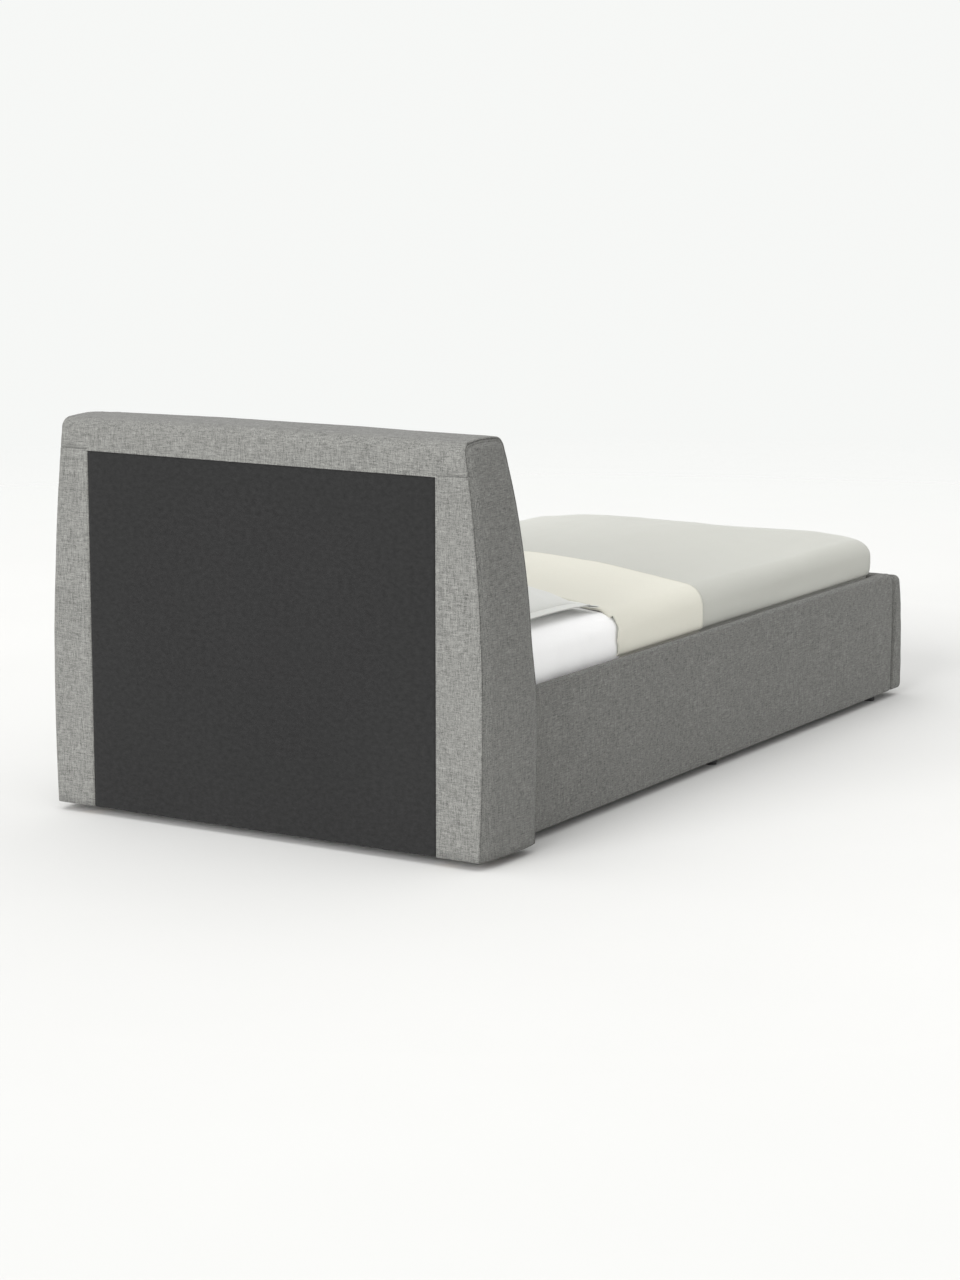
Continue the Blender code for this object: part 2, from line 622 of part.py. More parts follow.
def make_side_rails():
    """Boards with a glued ledge, and padded covers: pad outside, cap, flap inside, hem below, closed foot end."""
    low_y, high_y = FOOT_Y + SEAT, HEAD_Y - SEAT
    board_y = low_y + RAIL_END_WALL + SEAT
    reach, drop = RAIL_END_REACH - RAIL_END_WALL, RAIL_END_DROP - RAIL_CAP
    section = [(BOARD_IN_X, BOARD_TOP_Z), (BOARD_IN_X, LEDGE_TOP_Z), (BOARD_IN_X - LEDGE_WIDTH, LEDGE_TOP_Z),
               (BOARD_IN_X - LEDGE_WIDTH, BOARD_BOTTOM_Z), (BOARD_OUT_X, BOARD_BOTTOM_Z), (BOARD_OUT_X, BOARD_TOP_Z)]
    flap_z = RAIL_TOP - RAIL_FLAP_DROP
    hem_z, hem_x = FLOOR_GAP + RAIL_HEM, RAIL_OUT_X - RAIL_HEM_WIDTH
    low_z, inside_x = FLOOR_GAP - OVERRUN, RAIL_IN_X - OVERRUN
    room = [(inside_x, low_z), (hem_x, low_z), (hem_x, hem_z), (BOARD_OUT_X + SEAT, hem_z),
            (BOARD_OUT_X + SEAT, BOARD_TOP_Z + SEAT), (BOARD_IN_X - SEAT, BOARD_TOP_Z + SEAT),
            (BOARD_IN_X - SEAT, flap_z), (inside_x, flap_z)]
    for label, sign in (("left", -1), ("right", 1)):
        board = extruded("side_rail_" + label, [(sign * x, z) for x, z in section], board_y, high_y, "Y", "plywood")
        cut(board, beyond_rail_end("board_corner_" + label, board_y, BOARD_TOP_Z, reach, drop))
        cover = loft("side_rail_cover_" + label, rail_cover_rings(sign, low_y, high_y), "back_fabric")
        inside = extruded("rail_room_" + label, [(sign * x, z) for x, z in room], board_y - SEAT,
                          high_y + OVERRUN, "Y", None, CUTTERS)
        cut(inside, beyond_rail_end("room_corner_" + label, board_y - SEAT, BOARD_TOP_Z + SEAT, reach, drop))
        face = add_box("rail_face_" + label, (mirrored(sign, inside_x, BOARD_IN_X)[0], low_y - OVERRUN, low_z),
                       (mirrored(sign, inside_x, BOARD_IN_X)[1], board_y, flap_z), None, 0.0, CUTTERS)
        soften(cut(cover, inside, face))


def footboard_rings():
    """Level sections of the footboard's padding from its bottom to its rounded top."""
    rings = []
    shoulder_z = FOOTBOARD_TOP - FOOTBOARD_SHOULDER
    levels = [(FLOOR_GAP + (shoulder_z - FLOOR_GAP) * i / 6, 0) for i in range(7)]
    for i in range(1, ARC_STEPS + 1):
        turn = 90 * i / ARC_STEPS
        levels.append((shoulder_z + FOOTBOARD_SHOULDER * math.sin(math.radians(turn)), turn))
    for z, turn in levels:
        rise = max(0.0, (z - FOOTBOARD_BOW_Z) / (FOOTBOARD_TOP - FOOTBOARD_BOW_Z))
        bow = FOOTBOARD_BOW * rise ** 2
        round_share = 1 - math.cos(math.radians(turn))
        out_y = -BACK_Y + bow + FOOTBOARD_SHOULDER * round_share
        in_y = FOOT_Y - FOOTBOARD_INNER_EDGE * round_share
        half_x = RAIL_OUT_X - FOOTBOARD_EDGE * round_share
        edge = min(FOOTBOARD_EDGE, (in_y - out_y) / 2 - SEAT)
        rings.append([(x, y, z) for x, y in footboard_outline(half_x, out_y, in_y, edge)])
    return rings


def footboard_outline(half_x, out_y, in_y, edge):
    """Plan of the footboard: rounder outside than where it meets the rails."""
    small = min(FOOTBOARD_INNER_EDGE, edge)
    points = arc((half_x - small, in_y - small), small, 0, 90, 3)
    points += arc((-half_x + small, in_y - small), small, 90, 180, 3)
    points += arc((-half_x + edge, out_y + edge), edge, 180, 270, 4)
    points += arc((half_x - edge, out_y + edge), edge, 270, 360, 4)
    return points


def make_footboard():
    """A board in a padded cover that is open below."""
    in_y = FOOT_Y - FOOTBOARD_LINING
    half_x = RAIL_OUT_X - FOOTBOARD_SIDE_PAD
    top_z = FOOTBOARD_TOP - FOOTBOARD_TOP_PAD
    cover = loft("footboard_cover", footboard_rings(), "back_fabric")
    pocket = add_box("board_pocket", (-half_x, in_y - FOOTBOARD_BOARD - 2 * SEAT, FLOOR_GAP - OVERRUN),
                     (half_x, in_y, top_z), None, 0.0, CUTTERS)
    soften(cut(cover, pocket))
    add_box("footboard", (-half_x + SEAT, in_y - FOOTBOARD_BOARD - SEAT, FLOOR_GAP + SEAT),
            (half_x - SEAT, in_y - SEAT, top_z - SEAT), "plywood")


def make_floor():
    """Two floor panels on the ledges and a bearer under their joint."""
    half_x = BOARD_IN_X - SEAT
    low_z = LEDGE_TOP_Z + SEAT
    middle = (FOOT_Y + HEAD_Y) / 2
    for label, low_y, high_y in (("foot", FOOT_Y + SEAT, middle - SEAT), ("head", middle + SEAT, HEAD_Y - SEAT)):
        add_box("floor_panel_" + label, (-half_x, low_y, low_z), (half_x, high_y, low_z + FLOOR_PANEL), "floor_board")
    bearer_x = BOARD_IN_X - LEDGE_WIDTH - SEAT
    add_box("floor_bearer", (-bearer_x, middle - BEARER_WIDTH / 2, BOARD_BOTTOM_Z),
            (bearer_x, middle + BEARER_WIDTH / 2, LEDGE_TOP_Z), "timber", BAR_ROUND)


def make_glides():
    """Low round glides under the rails' boards, just inside the covers' hems."""
    x = RAIL_OUT_X - RAIL_HEM_WIDTH - SEAT - GLIDE_RADIUS
    middle = (FOOT_Y + HEAD_Y) / 2
    places = (("head", HEAD_Y - GLIDE_INSET), ("middle", middle), ("foot", FOOT_Y + GLIDE_INSET))
    height = BOARD_BOTTOM_Z - SEAT
    for name, y in places:
        for label, sign in (("left", -1), ("right", 1)):
            bm = bmesh.new()
            bmesh.ops.create_cone(bm, cap_ends=True, segments=20, radius1=GLIDE_RADIUS * GLIDE_FOOT_SHARE,
                                  radius2=GLIDE_RADIUS, depth=height)
            glide = add_object("glide_" + name + "_" + label, finish_mesh(bm, "glide"), "black_plastic")
            glide.location = (sign * x, y, height / 2)


def make_corner_brackets():
    """Steel angles that bolt the rails to the headboard and the footboard."""
    corner_x = BOARD_IN_X - SEAT
    for end, face_y, inward in (("head", HEAD_Y - SEAT, -1), ("foot", FOOT_Y + SEAT, 1)):
        for label, sign in (("left", -1), ("right", 1)):
            far_y = face_y + inward * BRACKET_LEG
            thick_y = face_y + inward * BRACKET_THICK
            near_x = corner_x - BRACKET_THICK
            leg_x = corner_x - BRACKET_LEG
            outline = [(sign * x, y) for x, y in ((corner_x, face_y), (corner_x, far_y), (near_x, far_y),
                                                  (near_x, thick_y), (leg_x, thick_y), (leg_x, face_y))]
            name = "corner_bracket_" + end + "_" + label
            angle = extruded(name, outline, BRACKET_Z, BRACKET_Z + BRACKET_HEIGHT, "Z", "steel")
            holes = []
            for share in BRACKET_HOLE_SHARES:
                place = Vector((face_y + inward * BRACKET_LEG * BRACKET_HOLE_REACH_SHARE,
                                BRACKET_Z + BRACKET_HEIGHT * share))
                span = mirrored(sign, near_x - OVERRUN, corner_x + OVERRUN)
                holes.append(add_pin(name + "_hole", BOLT_HOLE, *span, place, None, CUTTERS, 12))
            cut(angle, *holes)


def make_slat_frame():
    """Timber frame of the platform."""
    bar = "timber"
    low_z, high_z = BAR_BOTTOM_Z, PLATFORM_TOP
    pieces = []
    for label, sign in (("left", -1), ("right", 1)):
        span = mirrored(sign, BAR_IN_X, BAR_OUT_X)
        pieces.append(add_box("slat_frame_" + label, (span[0], MATTRESS_FOOT_Y, low_z),
                              (span[1], PLATFORM_HEAD_Y, high_z), bar, BAR_ROUND))
    inner = BAR_IN_X - SEAT
    pieces.append(add_box("slat_frame_head", (-inner, PLATFORM_HEAD_Y - BAR_WIDTH, low_z),
                          (inner, PLATFORM_HEAD_Y, high_z), bar, BAR_ROUND))
    pieces.append(add_box("slat_frame_foot", (-inner, MATTRESS_FOOT_Y, low_z),
                          (inner, MATTRESS_FOOT_Y + BAR_WIDTH, high_z), bar, BAR_ROUND))
    return pieces


def slat_outline():
    """Front view of a slat as (x, z): a shallow arch with a cap round each end."""
    half = BAR_OUT_X - SEAT
    low = PLATFORM_TOP + SEAT
    cap_x = half - SLAT_CAP_LENGTH
    steps = 10

    def arch(x):
        return low + SLAT_ARCH * (1 - (x / cap_x) ** 2)

    xs = [-cap_x + 2 * cap_x * i / steps for i in range(steps + 1)]
    under = [(x, arch(x)) for x in xs]
    over = [(x, z + SLAT_THICK) for x, z in reversed(under)]
    cap_top = low + SLAT_THICK + SLAT_CAP
    right = [(cap_x, low), (half, low), (half, cap_top), (cap_x, cap_top)]
    left = [(-x, z) for x, z in reversed(right)]
    return under[1:-1] + right + over[1:-1] + left


def make_slats():
    """Bowed slats across the frame, evenly spaced."""
    first = MATTRESS_FOOT_Y + BAR_WIDTH + SLAT_END_MARGIN
    last = PLATFORM_HEAD_Y - BAR_WIDTH - SLAT_END_MARGIN
    outline = slat_outline()
    slats = []
    for i in range(SLAT_COUNT):
        y = first + (last - first) * i / (SLAT_COUNT - 1)
        slats.append(extruded(f"slat_{i + 1:02d}", outline, y - SLAT_WIDTH / 2, y + SLAT_WIDTH / 2, "Y", "birch"))
    return slats


def tube(name, points, radius, finish):
    """A rod through points, with closed ends, as a mesh."""
    curve = bpy.data.curves.new(name, "CURVE")
    curve.dimensions = "3D"
    curve.bevel_depth = radius
    curve.bevel_resolution = 2
    curve.use_fill_caps = True
    spline = curve.splines.new("POLY")
    spline.points.add(len(points) - 1)
    for point, place in zip(spline.points, points):
        point.co = (*place, 1)
    line = bpy.data.objects.new(name, curve)
    BED.objects.link(line)
    bpy.context.view_layer.update()
    graph = bpy.context.evaluated_depsgraph_get()
    mesh = bpy.data.meshes.new_from_object(line.evaluated_get(graph))
    bpy.data.objects.remove(line, do_unlink=True)
    bm = bmesh.new()
    bm.from_mesh(mesh)
    bmesh.ops.remove_doubles(bm, verts=bm.verts, dist=SEAT / 10)
    bpy.data.meshes.remove(mesh)
    return soften(add_object(name, finish_mesh(bm, name), finish))


def make_mattress_stop():
    """Bent steel bow that keeps the mattress on the tilted platform."""
    y = MATTRESS_FOOT_Y - SEAT - STOP_ROD
    low_z = BAR_BOTTOM_Z + BAR_ROUND
    high_z = MATTRESS_BOTTOM_Z + STOP_RISE
    bend_x = STOP_HALF_WIDTH - STOP_BEND
    bend_z = high_z - STOP_BEND
    right = arc((bend_x, bend_z), STOP_BEND, 0, 90, 6)
    left = arc((-bend_x, bend_z), STOP_BEND, 90, 180, 6)
    path = [(STOP_HALF_WIDTH, low_z), *right, *left, (-STOP_HALF_WIDTH, low_z)]
    return tube("mattress_stop", [(x, y, z) for x, z in path], STOP_ROD, "steel")


def make_pull_strap():
    """Webbing handle on the foot bar: flat ends and a raised loop, as (x, y) seen from above."""
    face_y = MATTRESS_FOOT_Y - SEAT
    steps = 12
    inner = []
    for i in range(steps + 1):
        x = -STRAP_HALF_LENGTH + 2 * STRAP_HALF_LENGTH * i / steps
        share = (1 - abs(x) / STRAP_HALF_LENGTH - STRAP_FLAT_SHARE) / STRAP_RAMP_SHARE
        inner.append((x, face_y - STRAP_LOOP * math.sin(math.pi / 2 * min(1.0, max(0.0, share)))))
    outer = [(x, y - STRAP_THICK) for x, y in reversed(inner)]
    middle_z = (BAR_BOTTOM_Z + PLATFORM_TOP) / 2
    return soften(extruded("pull_strap", inner + outer, middle_z - STRAP_WIDTH / 2, middle_z + STRAP_WIDTH / 2,
                           "Z", "webbing"))


def make_lift_base(label, sign):
    """Base plate on the rail, with the spacers and riveted pins of two pivots and the strut's stud."""
    low_z = STRUT_ANCHOR.y - BASE_LOW_MARGIN
    back_y = STRUT_ANCHOR.x - BASE_MARGIN
    front_y = LIFT_PIVOT.x + BASE_HUMP
    hump_z = LIFT_PIVOT.y + BASE_HUMP
    shelf_z = GUIDE_PIVOT.y + BASE_MARGIN
    outline = [(back_y, low_z), (front_y, low_z),
               *arc((front_y - BASE_MARGIN, hump_z - BASE_MARGIN), BASE_MARGIN, 0, 90, 4),
               *arc((LIFT_PIVOT.x - BASE_HUMP + BASE_MARGIN, hump_z - BASE_MARGIN), BASE_MARGIN, 90, 150, 3),
               (GUIDE_PIVOT.x, shelf_z), (back_y, shelf_z)]
    name = "lift_base_" + label
    base = extruded(name, outline, *mirrored(sign, BASE_IN_X, BASE_IN_X + BASE_THICK), "X", "black_steel")
    root_x = BASE_IN_X + BASE_THICK / 2
    parts = []
    pivots = ((LIFT_PIVOT, ARM_OUT_X + SEAT, ARM_IN_X - SEAT), (GUIDE_PIVOT, GUIDE_OUT_X + SEAT, GUIDE_IN_X - SEAT))
    for place, spacer_x, head_x in pivots:
        low, high = mirrored(sign, spacer_x, root_x)
        parts.append(add_pin("spacer", PIVOT_HEAD, low, high, place, "black_steel"))
        low, high = mirrored(sign, head_x - RIVET_HEAD, root_x)
        parts.append(add_pin("pin", PIVOT_PIN, low, high, place, "black_steel"))
        low, high = mirrored(sign, head_x - RIVET_HEAD, head_x)
        parts.append(add_pin("head", PIVOT_HEAD, low, high, place, "black_steel"))
    low, high = mirrored(sign, SOCKET_OUT_X + SEAT, root_x)
    parts.append(add_pin("stud", STRUT_STUD, low, high, STRUT_ANCHOR, "black_steel", None, 12))
    join(base, *parts)
    holes = []
    for share in BASE_HOLE_SHARES:
        place = Vector((back_y + (front_y - back_y) * share, low_z + BASE_MARGIN / 2))
        span = mirrored(sign, BASE_IN_X - OVERRUN, BASE_IN_X + BASE_THICK + OVERRUN)
        holes.append(add_pin(name + "_hole", BOLT_HOLE, *span, place, None, CUTTERS, 12))
    return cut(base, *holes)


def make_lift_arm(label, sign, axis):
    """Bell-crank arm: a long leg to the platform, a short lever for the strut with its stud."""
    span = mirrored(sign, ARM_IN_X, ARM_OUT_X)
    name = "lift_arm_" + label
    leg = capsule(LIFT_PIVOT, PLATFORM_PIVOT, ARM_EYE + SEAT, ARM_EYE - SEAT)
    arm = extruded(name, leg, *span, "X", "black_steel")
    lever = extruded("lever", capsule(LIFT_PIVOT, STRUT_LEVER, ARM_EYE, LEVER_EYE), *span, "X", "black_steel")
    low, high = mirrored(sign, SOCKET_OUT_X + SEAT, ARM_OUT_X - ARM_THICK / 2)
    stud = add_pin("stud", STRUT_STUD, low, high, STRUT_LEVER, "black_steel", None, 12)
    join(arm, lever, stud)
    holes = []
    for place in (LIFT_PIVOT, PLATFORM_PIVOT):
        low, high = mirrored(sign, ARM_IN_X - OVERRUN, ARM_OUT_X + OVERRUN)
        holes.append(add_pin(name + "_bore", PIVOT_PIN + PIVOT_PLAY, low, high, place, None, CUTTERS))
    cut(arm, *holes)
    set_origin(arm, LIFT_PIVOT)
    hang_on(arm, axis)


def make_guide_arm(label, sign, axis):
    """Second arm: bored at its foot, with a rivet in its upper eye."""
    name = "guide_arm_" + label
    span = mirrored(sign, GUIDE_IN_X, GUIDE_OUT_X)
    arm = extruded(name, capsule(GUIDE_PIVOT, GUIDE_TOP, ARM_EYE - SEAT, ARM_WAIST), *span, "X", "black_steel")
    low, high = mirrored(sign, GUIDE_OUT_X - ARM_THICK / 2, GUIDE_OUT_X + RIVET_HEAD)
    rivet = add_pin("rivet", PIVOT_PIN, low, high, GUIDE_TOP, "black_steel")
    join(arm, rivet)
    low, high = mirrored(sign, GUIDE_IN_X - OVERRUN, GUIDE_OUT_X + OVERRUN)
    cut(arm, add_pin(name + "_bore", PIVOT_PIN + PIVOT_PLAY, low, high, GUIDE_PIVOT, None, CUTTERS))
    set_origin(arm, GUIDE_PIVOT)
    hang_on(arm, axis)


def make_platform_bracket(label, sign):
    """Plate on the slatted frame that carries both upper pivots."""
    top_z = PLATFORM_TOP
    low_z = BAR_BOTTOM_Z
    back_y = GUIDE_TOP.x - 4 * PLATE_MARGIN
    front_y = PLATFORM_PIVOT.x + 3 * PLATE_MARGIN
    outline = [(back_y, top_z), (back_y, low_z + PLATE_MARGIN / 2),
               (GUIDE_TOP.x - 2 * PLATE_MARGIN, low_z),
               *arc(GUIDE_TOP, PLATE_MARGIN, 215, 325, 5),
               (PLATFORM_PIVOT.x, low_z), (front_y, low_z + PLATE_MARGIN / 2), (front_y, top_z)]
    name = "platform_bracket_" + label
    plate = extruded(name, outline, *mirrored(sign, PLATE_IN_X, PLATE_OUT_X), "X", "black_steel")
    root_x = PLATE_OUT_X - PLATE_THICK / 2
    parts = []
    low, high = mirrored(sign, root_x, ARM_IN_X - SEAT)
    parts.append(add_pin("spacer", PIVOT_HEAD, low, high, PLATFORM_PIVOT, "black_steel"))
    low, high = mirrored(sign, root_x, ARM_OUT_X + SEAT + RIVET_HEAD)
    parts.append(add_pin("pin", PIVOT_PIN, low, high, PLATFORM_PIVOT, "black_steel"))
    low, high = mirrored(sign, ARM_OUT_X + SEAT, ARM_OUT_X + SEAT + RIVET_HEAD)
    parts.append(add_pin("head", PIVOT_HEAD, low, high, PLATFORM_PIVOT, "black_steel"))
    return join(plate, *parts)


def set_origin(obj, place):
    """Moves an object's origin to a point of the side view and leaves its mesh where it is."""
    offset = Vector((0, place.x, place.y)) - obj.location
    obj.data.transform(Matrix.Translation(-offset))
    obj.location = obj.location + offset


def rod_along(name, start, end, radius, x, finish, collection=None, steps=16):
    """A cylinder in the side view from one point to another at a given X."""
    along = end - start
    bm = bmesh.new()
    lean = math.atan2(along.y, along.x)
    turn = Matrix.Rotation(lean, 4, "X") @ Matrix.Rotation(math.radians(-90), 4, "X")
    bmesh.ops.create_cone(bm, cap_ends=True, segments=steps, radius1=radius, radius2=radius,
                          depth=along.length, matrix=turn)
    obj = add_object(name, finish_mesh(bm, name), finish, collection)
    middle = (start + end) / 2
    obj.location = (x, middle.x, middle.y)
    return obj


def make_strut(label, sign, cylinder_axis, rod_axis):
    """Gas strut: a cylinder with a bore and a rod that slides in it, each with its socket."""
    x = sign * STRUT_X
    along = STRUT_LEVER - STRUT_ANCHOR
    unit = along.normalized()
    neck = STRUT_LEVER - unit * (STRUT_SOCKET * 2)
    mouth = neck - unit * SEAT
    bore_end = mouth - unit * STRUT_BORE_DEPTH
    low, high = mirrored(sign, SOCKET_OUT_X - STRUT_SOCKET_WIDTH, SOCKET_OUT_X)
    cylinder = rod_along("strut_cylinder_" + label, STRUT_ANCHOR, mouth - unit * STRUT_SOCKET, STRUT_RADIUS, x,
                         "black_steel")
    join(cylinder, add_pin("socket", STRUT_SOCKET, low, high, STRUT_ANCHOR, "black_steel", None, 20))
    bore = rod_along("strut_bore_" + label, bore_end, mouth + unit * OVERRUN, STRUT_BORE, x, None, CUTTERS)
    cut(cylinder, bore)
    rod = rod_along("strut_rod_" + label, mouth - unit * STRUT_GRIP, STRUT_LEVER, STRUT_ROD, x, "chrome")
    join(rod, add_pin("socket", STRUT_SOCKET, low, high, STRUT_LEVER, "chrome", None, 20))
    set_origin(cylinder, STRUT_ANCHOR)
    set_origin(rod, STRUT_LEVER)
    hang_on(soften(cylinder), cylinder_axis)
    hang_on(soften(rod), rod_axis)


def slab_rings(half_x, low_y, high_y, corner, levels):
    """Rings of a soft slab: each level is (inset, z) from the widest plan, with corners rounder further in."""
    rings = []
    for inset, z in levels:
        radius = min(corner + max(inset, 0.0) * CROWN_ROUNDING_SHARE, (half_x - inset) * 0.98)
        outline = rounded_rectangle(half_x - inset, low_y + inset, high_y - inset, radius)
        rings.append([(x, y, z) for x, y in outline])
    return rings


def crown_levels(edge_inset, edge_z, crown, reach, steps):
    """Levels from the shoulder inwards, rising as a quarter sine until the reach."""
    levels = []
    for i in range(1, steps + 1):
        share = i / steps
        levels.append((edge_inset + reach * share, edge_z + crown * math.sin(math.pi / 2 * share)))
    return levels


def mattress_levels(grow):
    """Levels of the mattress, or of a form that lies round it when grow is above zero."""
    low, high = MATTRESS_BOTTOM_Z - grow, MATTRESS_TOP_Z + grow
    edge = MATTRESS_EDGE
    levels = [(edge / 2 - grow, low), (-grow, low + edge)]
    for i in range(0, 4):
        turn = math.radians(30 * i)
        levels.append((edge * (1 - math.cos(turn)) - grow, high - edge + edge * math.sin(turn)))
    return levels + crown_levels(edge - grow, high, MATTRESS_CROWN, MATTRESS_CROWN_REACH, CROWN_STEPS // 2)


def make_mattress():
    """Mattress in its fitted sheet."""
    rings = slab_rings(MATTRESS_WIDTH / 2, MATTRESS_FOOT_Y, MATTRESS_HEAD_Y, MATTRESS_CORNER, mattress_levels(0))
    return soften(loft("mattress", rings, "white_sheet"))


def duvet_levels(grow):
    """Levels of the duvet's outside: a tucked hem, a bulging side, a round shoulder and a crown."""
    hem_z = RAIL_TOP - DUVET_HEM
    side = DUVET_THICK + grow
    shoulder_z = MATTRESS_TOP_Z + DUVET_EDGE_LIFT - DUVET_SHOULDER
    free_z = RAIL_TOP + RAIL_ROUND / 2
    levels = [(-side, hem_z), (-side - SEAT, RAIL_TOP - SEAT)]
    for i in range(SIDE_STEPS):
        share = i / SIDE_STEPS
        bulge = DUVET_BULGE * math.sin(math.pi / 2 * share)
        levels.append((-side - SEAT - bulge, free_z + (shoulder_z - free_z) * share))
    top = DUVET_SHOULDER + grow
    for i in range(0, 5):
        turn = math.radians(22.5 * i)
        inset = top * (1 - math.cos(turn)) - side - SEAT - DUVET_BULGE
        levels.append((inset, shoulder_z + top * math.sin(turn)))
    return levels + crown_levels(levels[-1][0], levels[-1][1], DUVET_CROWN, DUVET_CROWN_REACH, CROWN_STEPS)


def duvet_form(name, grow, finish, collection=None):
    """The closed outside form of the duvet, or of what lies round it."""
    rings = slab_rings(MATTRESS_WIDTH / 2, MATTRESS_FOOT_Y, MATTRESS_HEAD_Y, DUVET_CORNER, duvet_levels(grow))
    return loft(name, rings, finish, collection)


def make_duvet():
    """Duvet over the mattress, from the turned-back sheet's fold to the foot end."""
    duvet = duvet_form("duvet", 0, "duvet_grey")
    rings = slab_rings(MATTRESS_WIDTH / 2, MATTRESS_FOOT_Y, MATTRESS_HEAD_Y, MATTRESS_CORNER,
                       mattress_levels(2 * SEAT))
    inside = loft("mattress_room", rings, None, CUTTERS)
    fold_y = MATTRESS_HEAD_Y - SHEET_FROM_HEAD - SHEET_THICK
    reach = MATTRESS_WIDTH / 2 + DUVET_SHOULDER
    head_cut = add_box("duvet_head_cut", (-reach, fold_y, FLOOR_GAP),
                       (reach, BACK_Y, MATTRESS_TOP_Z + MATTRESS_HEIGHT), None, 0.0, CUTTERS)
    return soften(cut(duvet, inside, head_cut))


def make_top_sheet():
    """Turned-back sheet: a band over the duvet that closes its head end."""
    sheet = duvet_form("top_sheet", SHEET_THICK + SEAT, "sheet_beige")
    start_y = MATTRESS_HEAD_Y - SHEET_FROM_HEAD
    end_y = start_y - SHEET_BAND
    under = duvet_form("duvet_room", SEAT, None, CUTTERS)
    fold_y = start_y - SHEET_THICK + SEAT
    reach = MATTRESS_WIDTH / 2 + DUVET_SHOULDER + SHEET_THICK
    high_z = MATTRESS_TOP_Z + MATTRESS_HEIGHT
    combine(under, add_box("fold_side", (-reach, fold_y, FLOOR_GAP), (reach, BACK_Y, high_z), None, 0.0, CUTTERS),
            "DIFFERENCE")
    rings = slab_rings(MATTRESS_WIDTH / 2, MATTRESS_FOOT_Y, MATTRESS_HEAD_Y, MATTRESS_CORNER,
                       mattress_levels(2 * SEAT))
    inside = loft("sheet_room", rings, None, CUTTERS)
    head_cut = add_box("sheet_head_cut", (-reach, start_y, FLOOR_GAP), (reach, BACK_Y, high_z), None, 0.0, CUTTERS)
    foot_cut = add_box("sheet_foot_cut", (-reach, -BACK_Y, FLOOR_GAP), (reach, end_y, high_z), None, 0.0, CUTTERS)
    for other in bpy.data.collections["cutters"].objects:
        cutter(other)
    return soften(cut(sheet, inside, under, head_cut, foot_cut))


def pillow_shape(u, v, upper):
    """A point of the pillow, u and v from -1 to 1: a filled core inside a flat flange with drawn-in sides."""
    cells_x, cells_y = PILLOW_CELLS[0] / 2, PILLOW_CELLS[1] / 2
    core = []
    place = []
    for value, cells, half in ((u, cells_x, PILLOW_WIDTH / 2), (v, cells_y, PILLOW_DEPTH / 2)):
        step = abs(value) * cells
        inside = min(1.0, step / (cells - 1))
        core.append(math.sin(math.pi / 2 * inside))
        reach = (half - PILLOW_RIM) * core[-1] + PILLOW_RIM * max(0.0, step - cells + 1)
        place.append(math.copysign(reach, value))
    x = place[0] - math.copysign(PILLOW_DRAW * (1 - v * v) * core[0] ** 4, u) if u else 0.0
    y = place[1] - math.copysign(PILLOW_DRAW * (1 - u * u) * core[1] ** 4, v) if v else 0.0
    fill = ((1 - core[0] ** 3) * (1 - core[1] ** 3)) ** 0.6
    rim_z = PILLOW_LIFT + PILLOW_TIP * abs(u * v) ** 6
    if upper:
        return x, y, rim_z + PILLOW_RIM_THICK + (PILLOW_HEIGHT - PILLOW_LIFT - PILLOW_RIM_THICK) * fill
    return x, y, max(0.0, rim_z - 2 * PILLOW_LIFT * fill)


def make_pillow():
    """Pillow with a flat flange: a grid given thickness, then shaped point by point."""
    bm = bmesh.new()
    bmesh.ops.create_grid(bm, x_segments=PILLOW_CELLS[0], y_segments=PILLOW_CELLS[1], size=1.0)
    lower = list(bm.verts)
    raised = bmesh.ops.extrude_face_region(bm, geom=list(bm.faces))["geom"]
    upper = [item for item in raised if isinstance(item, bmesh.types.BMVert)]
    middle = MATTRESS_HEAD_Y - PILLOW_FROM_HEAD - PILLOW_DEPTH / 2
    rest_z = MATTRESS_TOP_Z + MATTRESS_CROWN + SEAT
    for verts, is_upper in ((lower, False), (upper, True)):
        for vert in verts:
            x, y, z = pillow_shape(vert.co.x, vert.co.y, is_upper)
            vert.co = (x, middle + y, rest_z + z)
    return soften(add_object("pillow", finish_mesh(bm, "pillow"), "pillow_grey"))


def make_platform():
    """All that tilts with the platform, hung on its pivot's axis."""
    pieces = make_slat_frame()
    pieces += make_slats()
    pieces += [make_mattress_stop(), make_pull_strap(), make_mattress(), make_duvet(), make_top_sheet(), make_pillow()]
    pieces += [make_platform_bracket("left", -1), make_platform_bracket("right", 1)]
    axis = add_axis("platform_axis", PLATFORM_PIVOT)
    for piece in pieces:
        hang_on(piece, axis)


def make_lift_hardware():
    """Both sides' base plates, arms and gas struts."""
    lift_axis = add_axis("lift_axis", LIFT_PIVOT)
    guide_axis = add_axis("guide_axis", GUIDE_PIVOT)
    cylinder_axis = add_axis("strut_axis", STRUT_ANCHOR)
    rod_axis = add_axis("strut_rod_axis", STRUT_LEVER)
    for label, sign in (("left", -1), ("right", 1)):
        make_lift_base(label, sign)
        make_lift_arm(label, sign, lift_axis)
        make_guide_arm(label, sign, guide_axis)
        make_strut(label, sign, cylinder_axis, rod_axis)


def main():
    """Builds the bed."""
    make_headboard_cover()
    make_headboard_frame()
    make_back_cloth()
    make_side_rails()
    make_footboard()
    make_floor()
    make_glides()
    make_corner_brackets()
    make_lift_hardware()
    make_platform()
    for other in CUTTERS.objects:
        cutter(other)


main()
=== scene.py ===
"""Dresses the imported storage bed: sewn covers, bedding, wood and metal finishes, floor, light and camera."""
import math

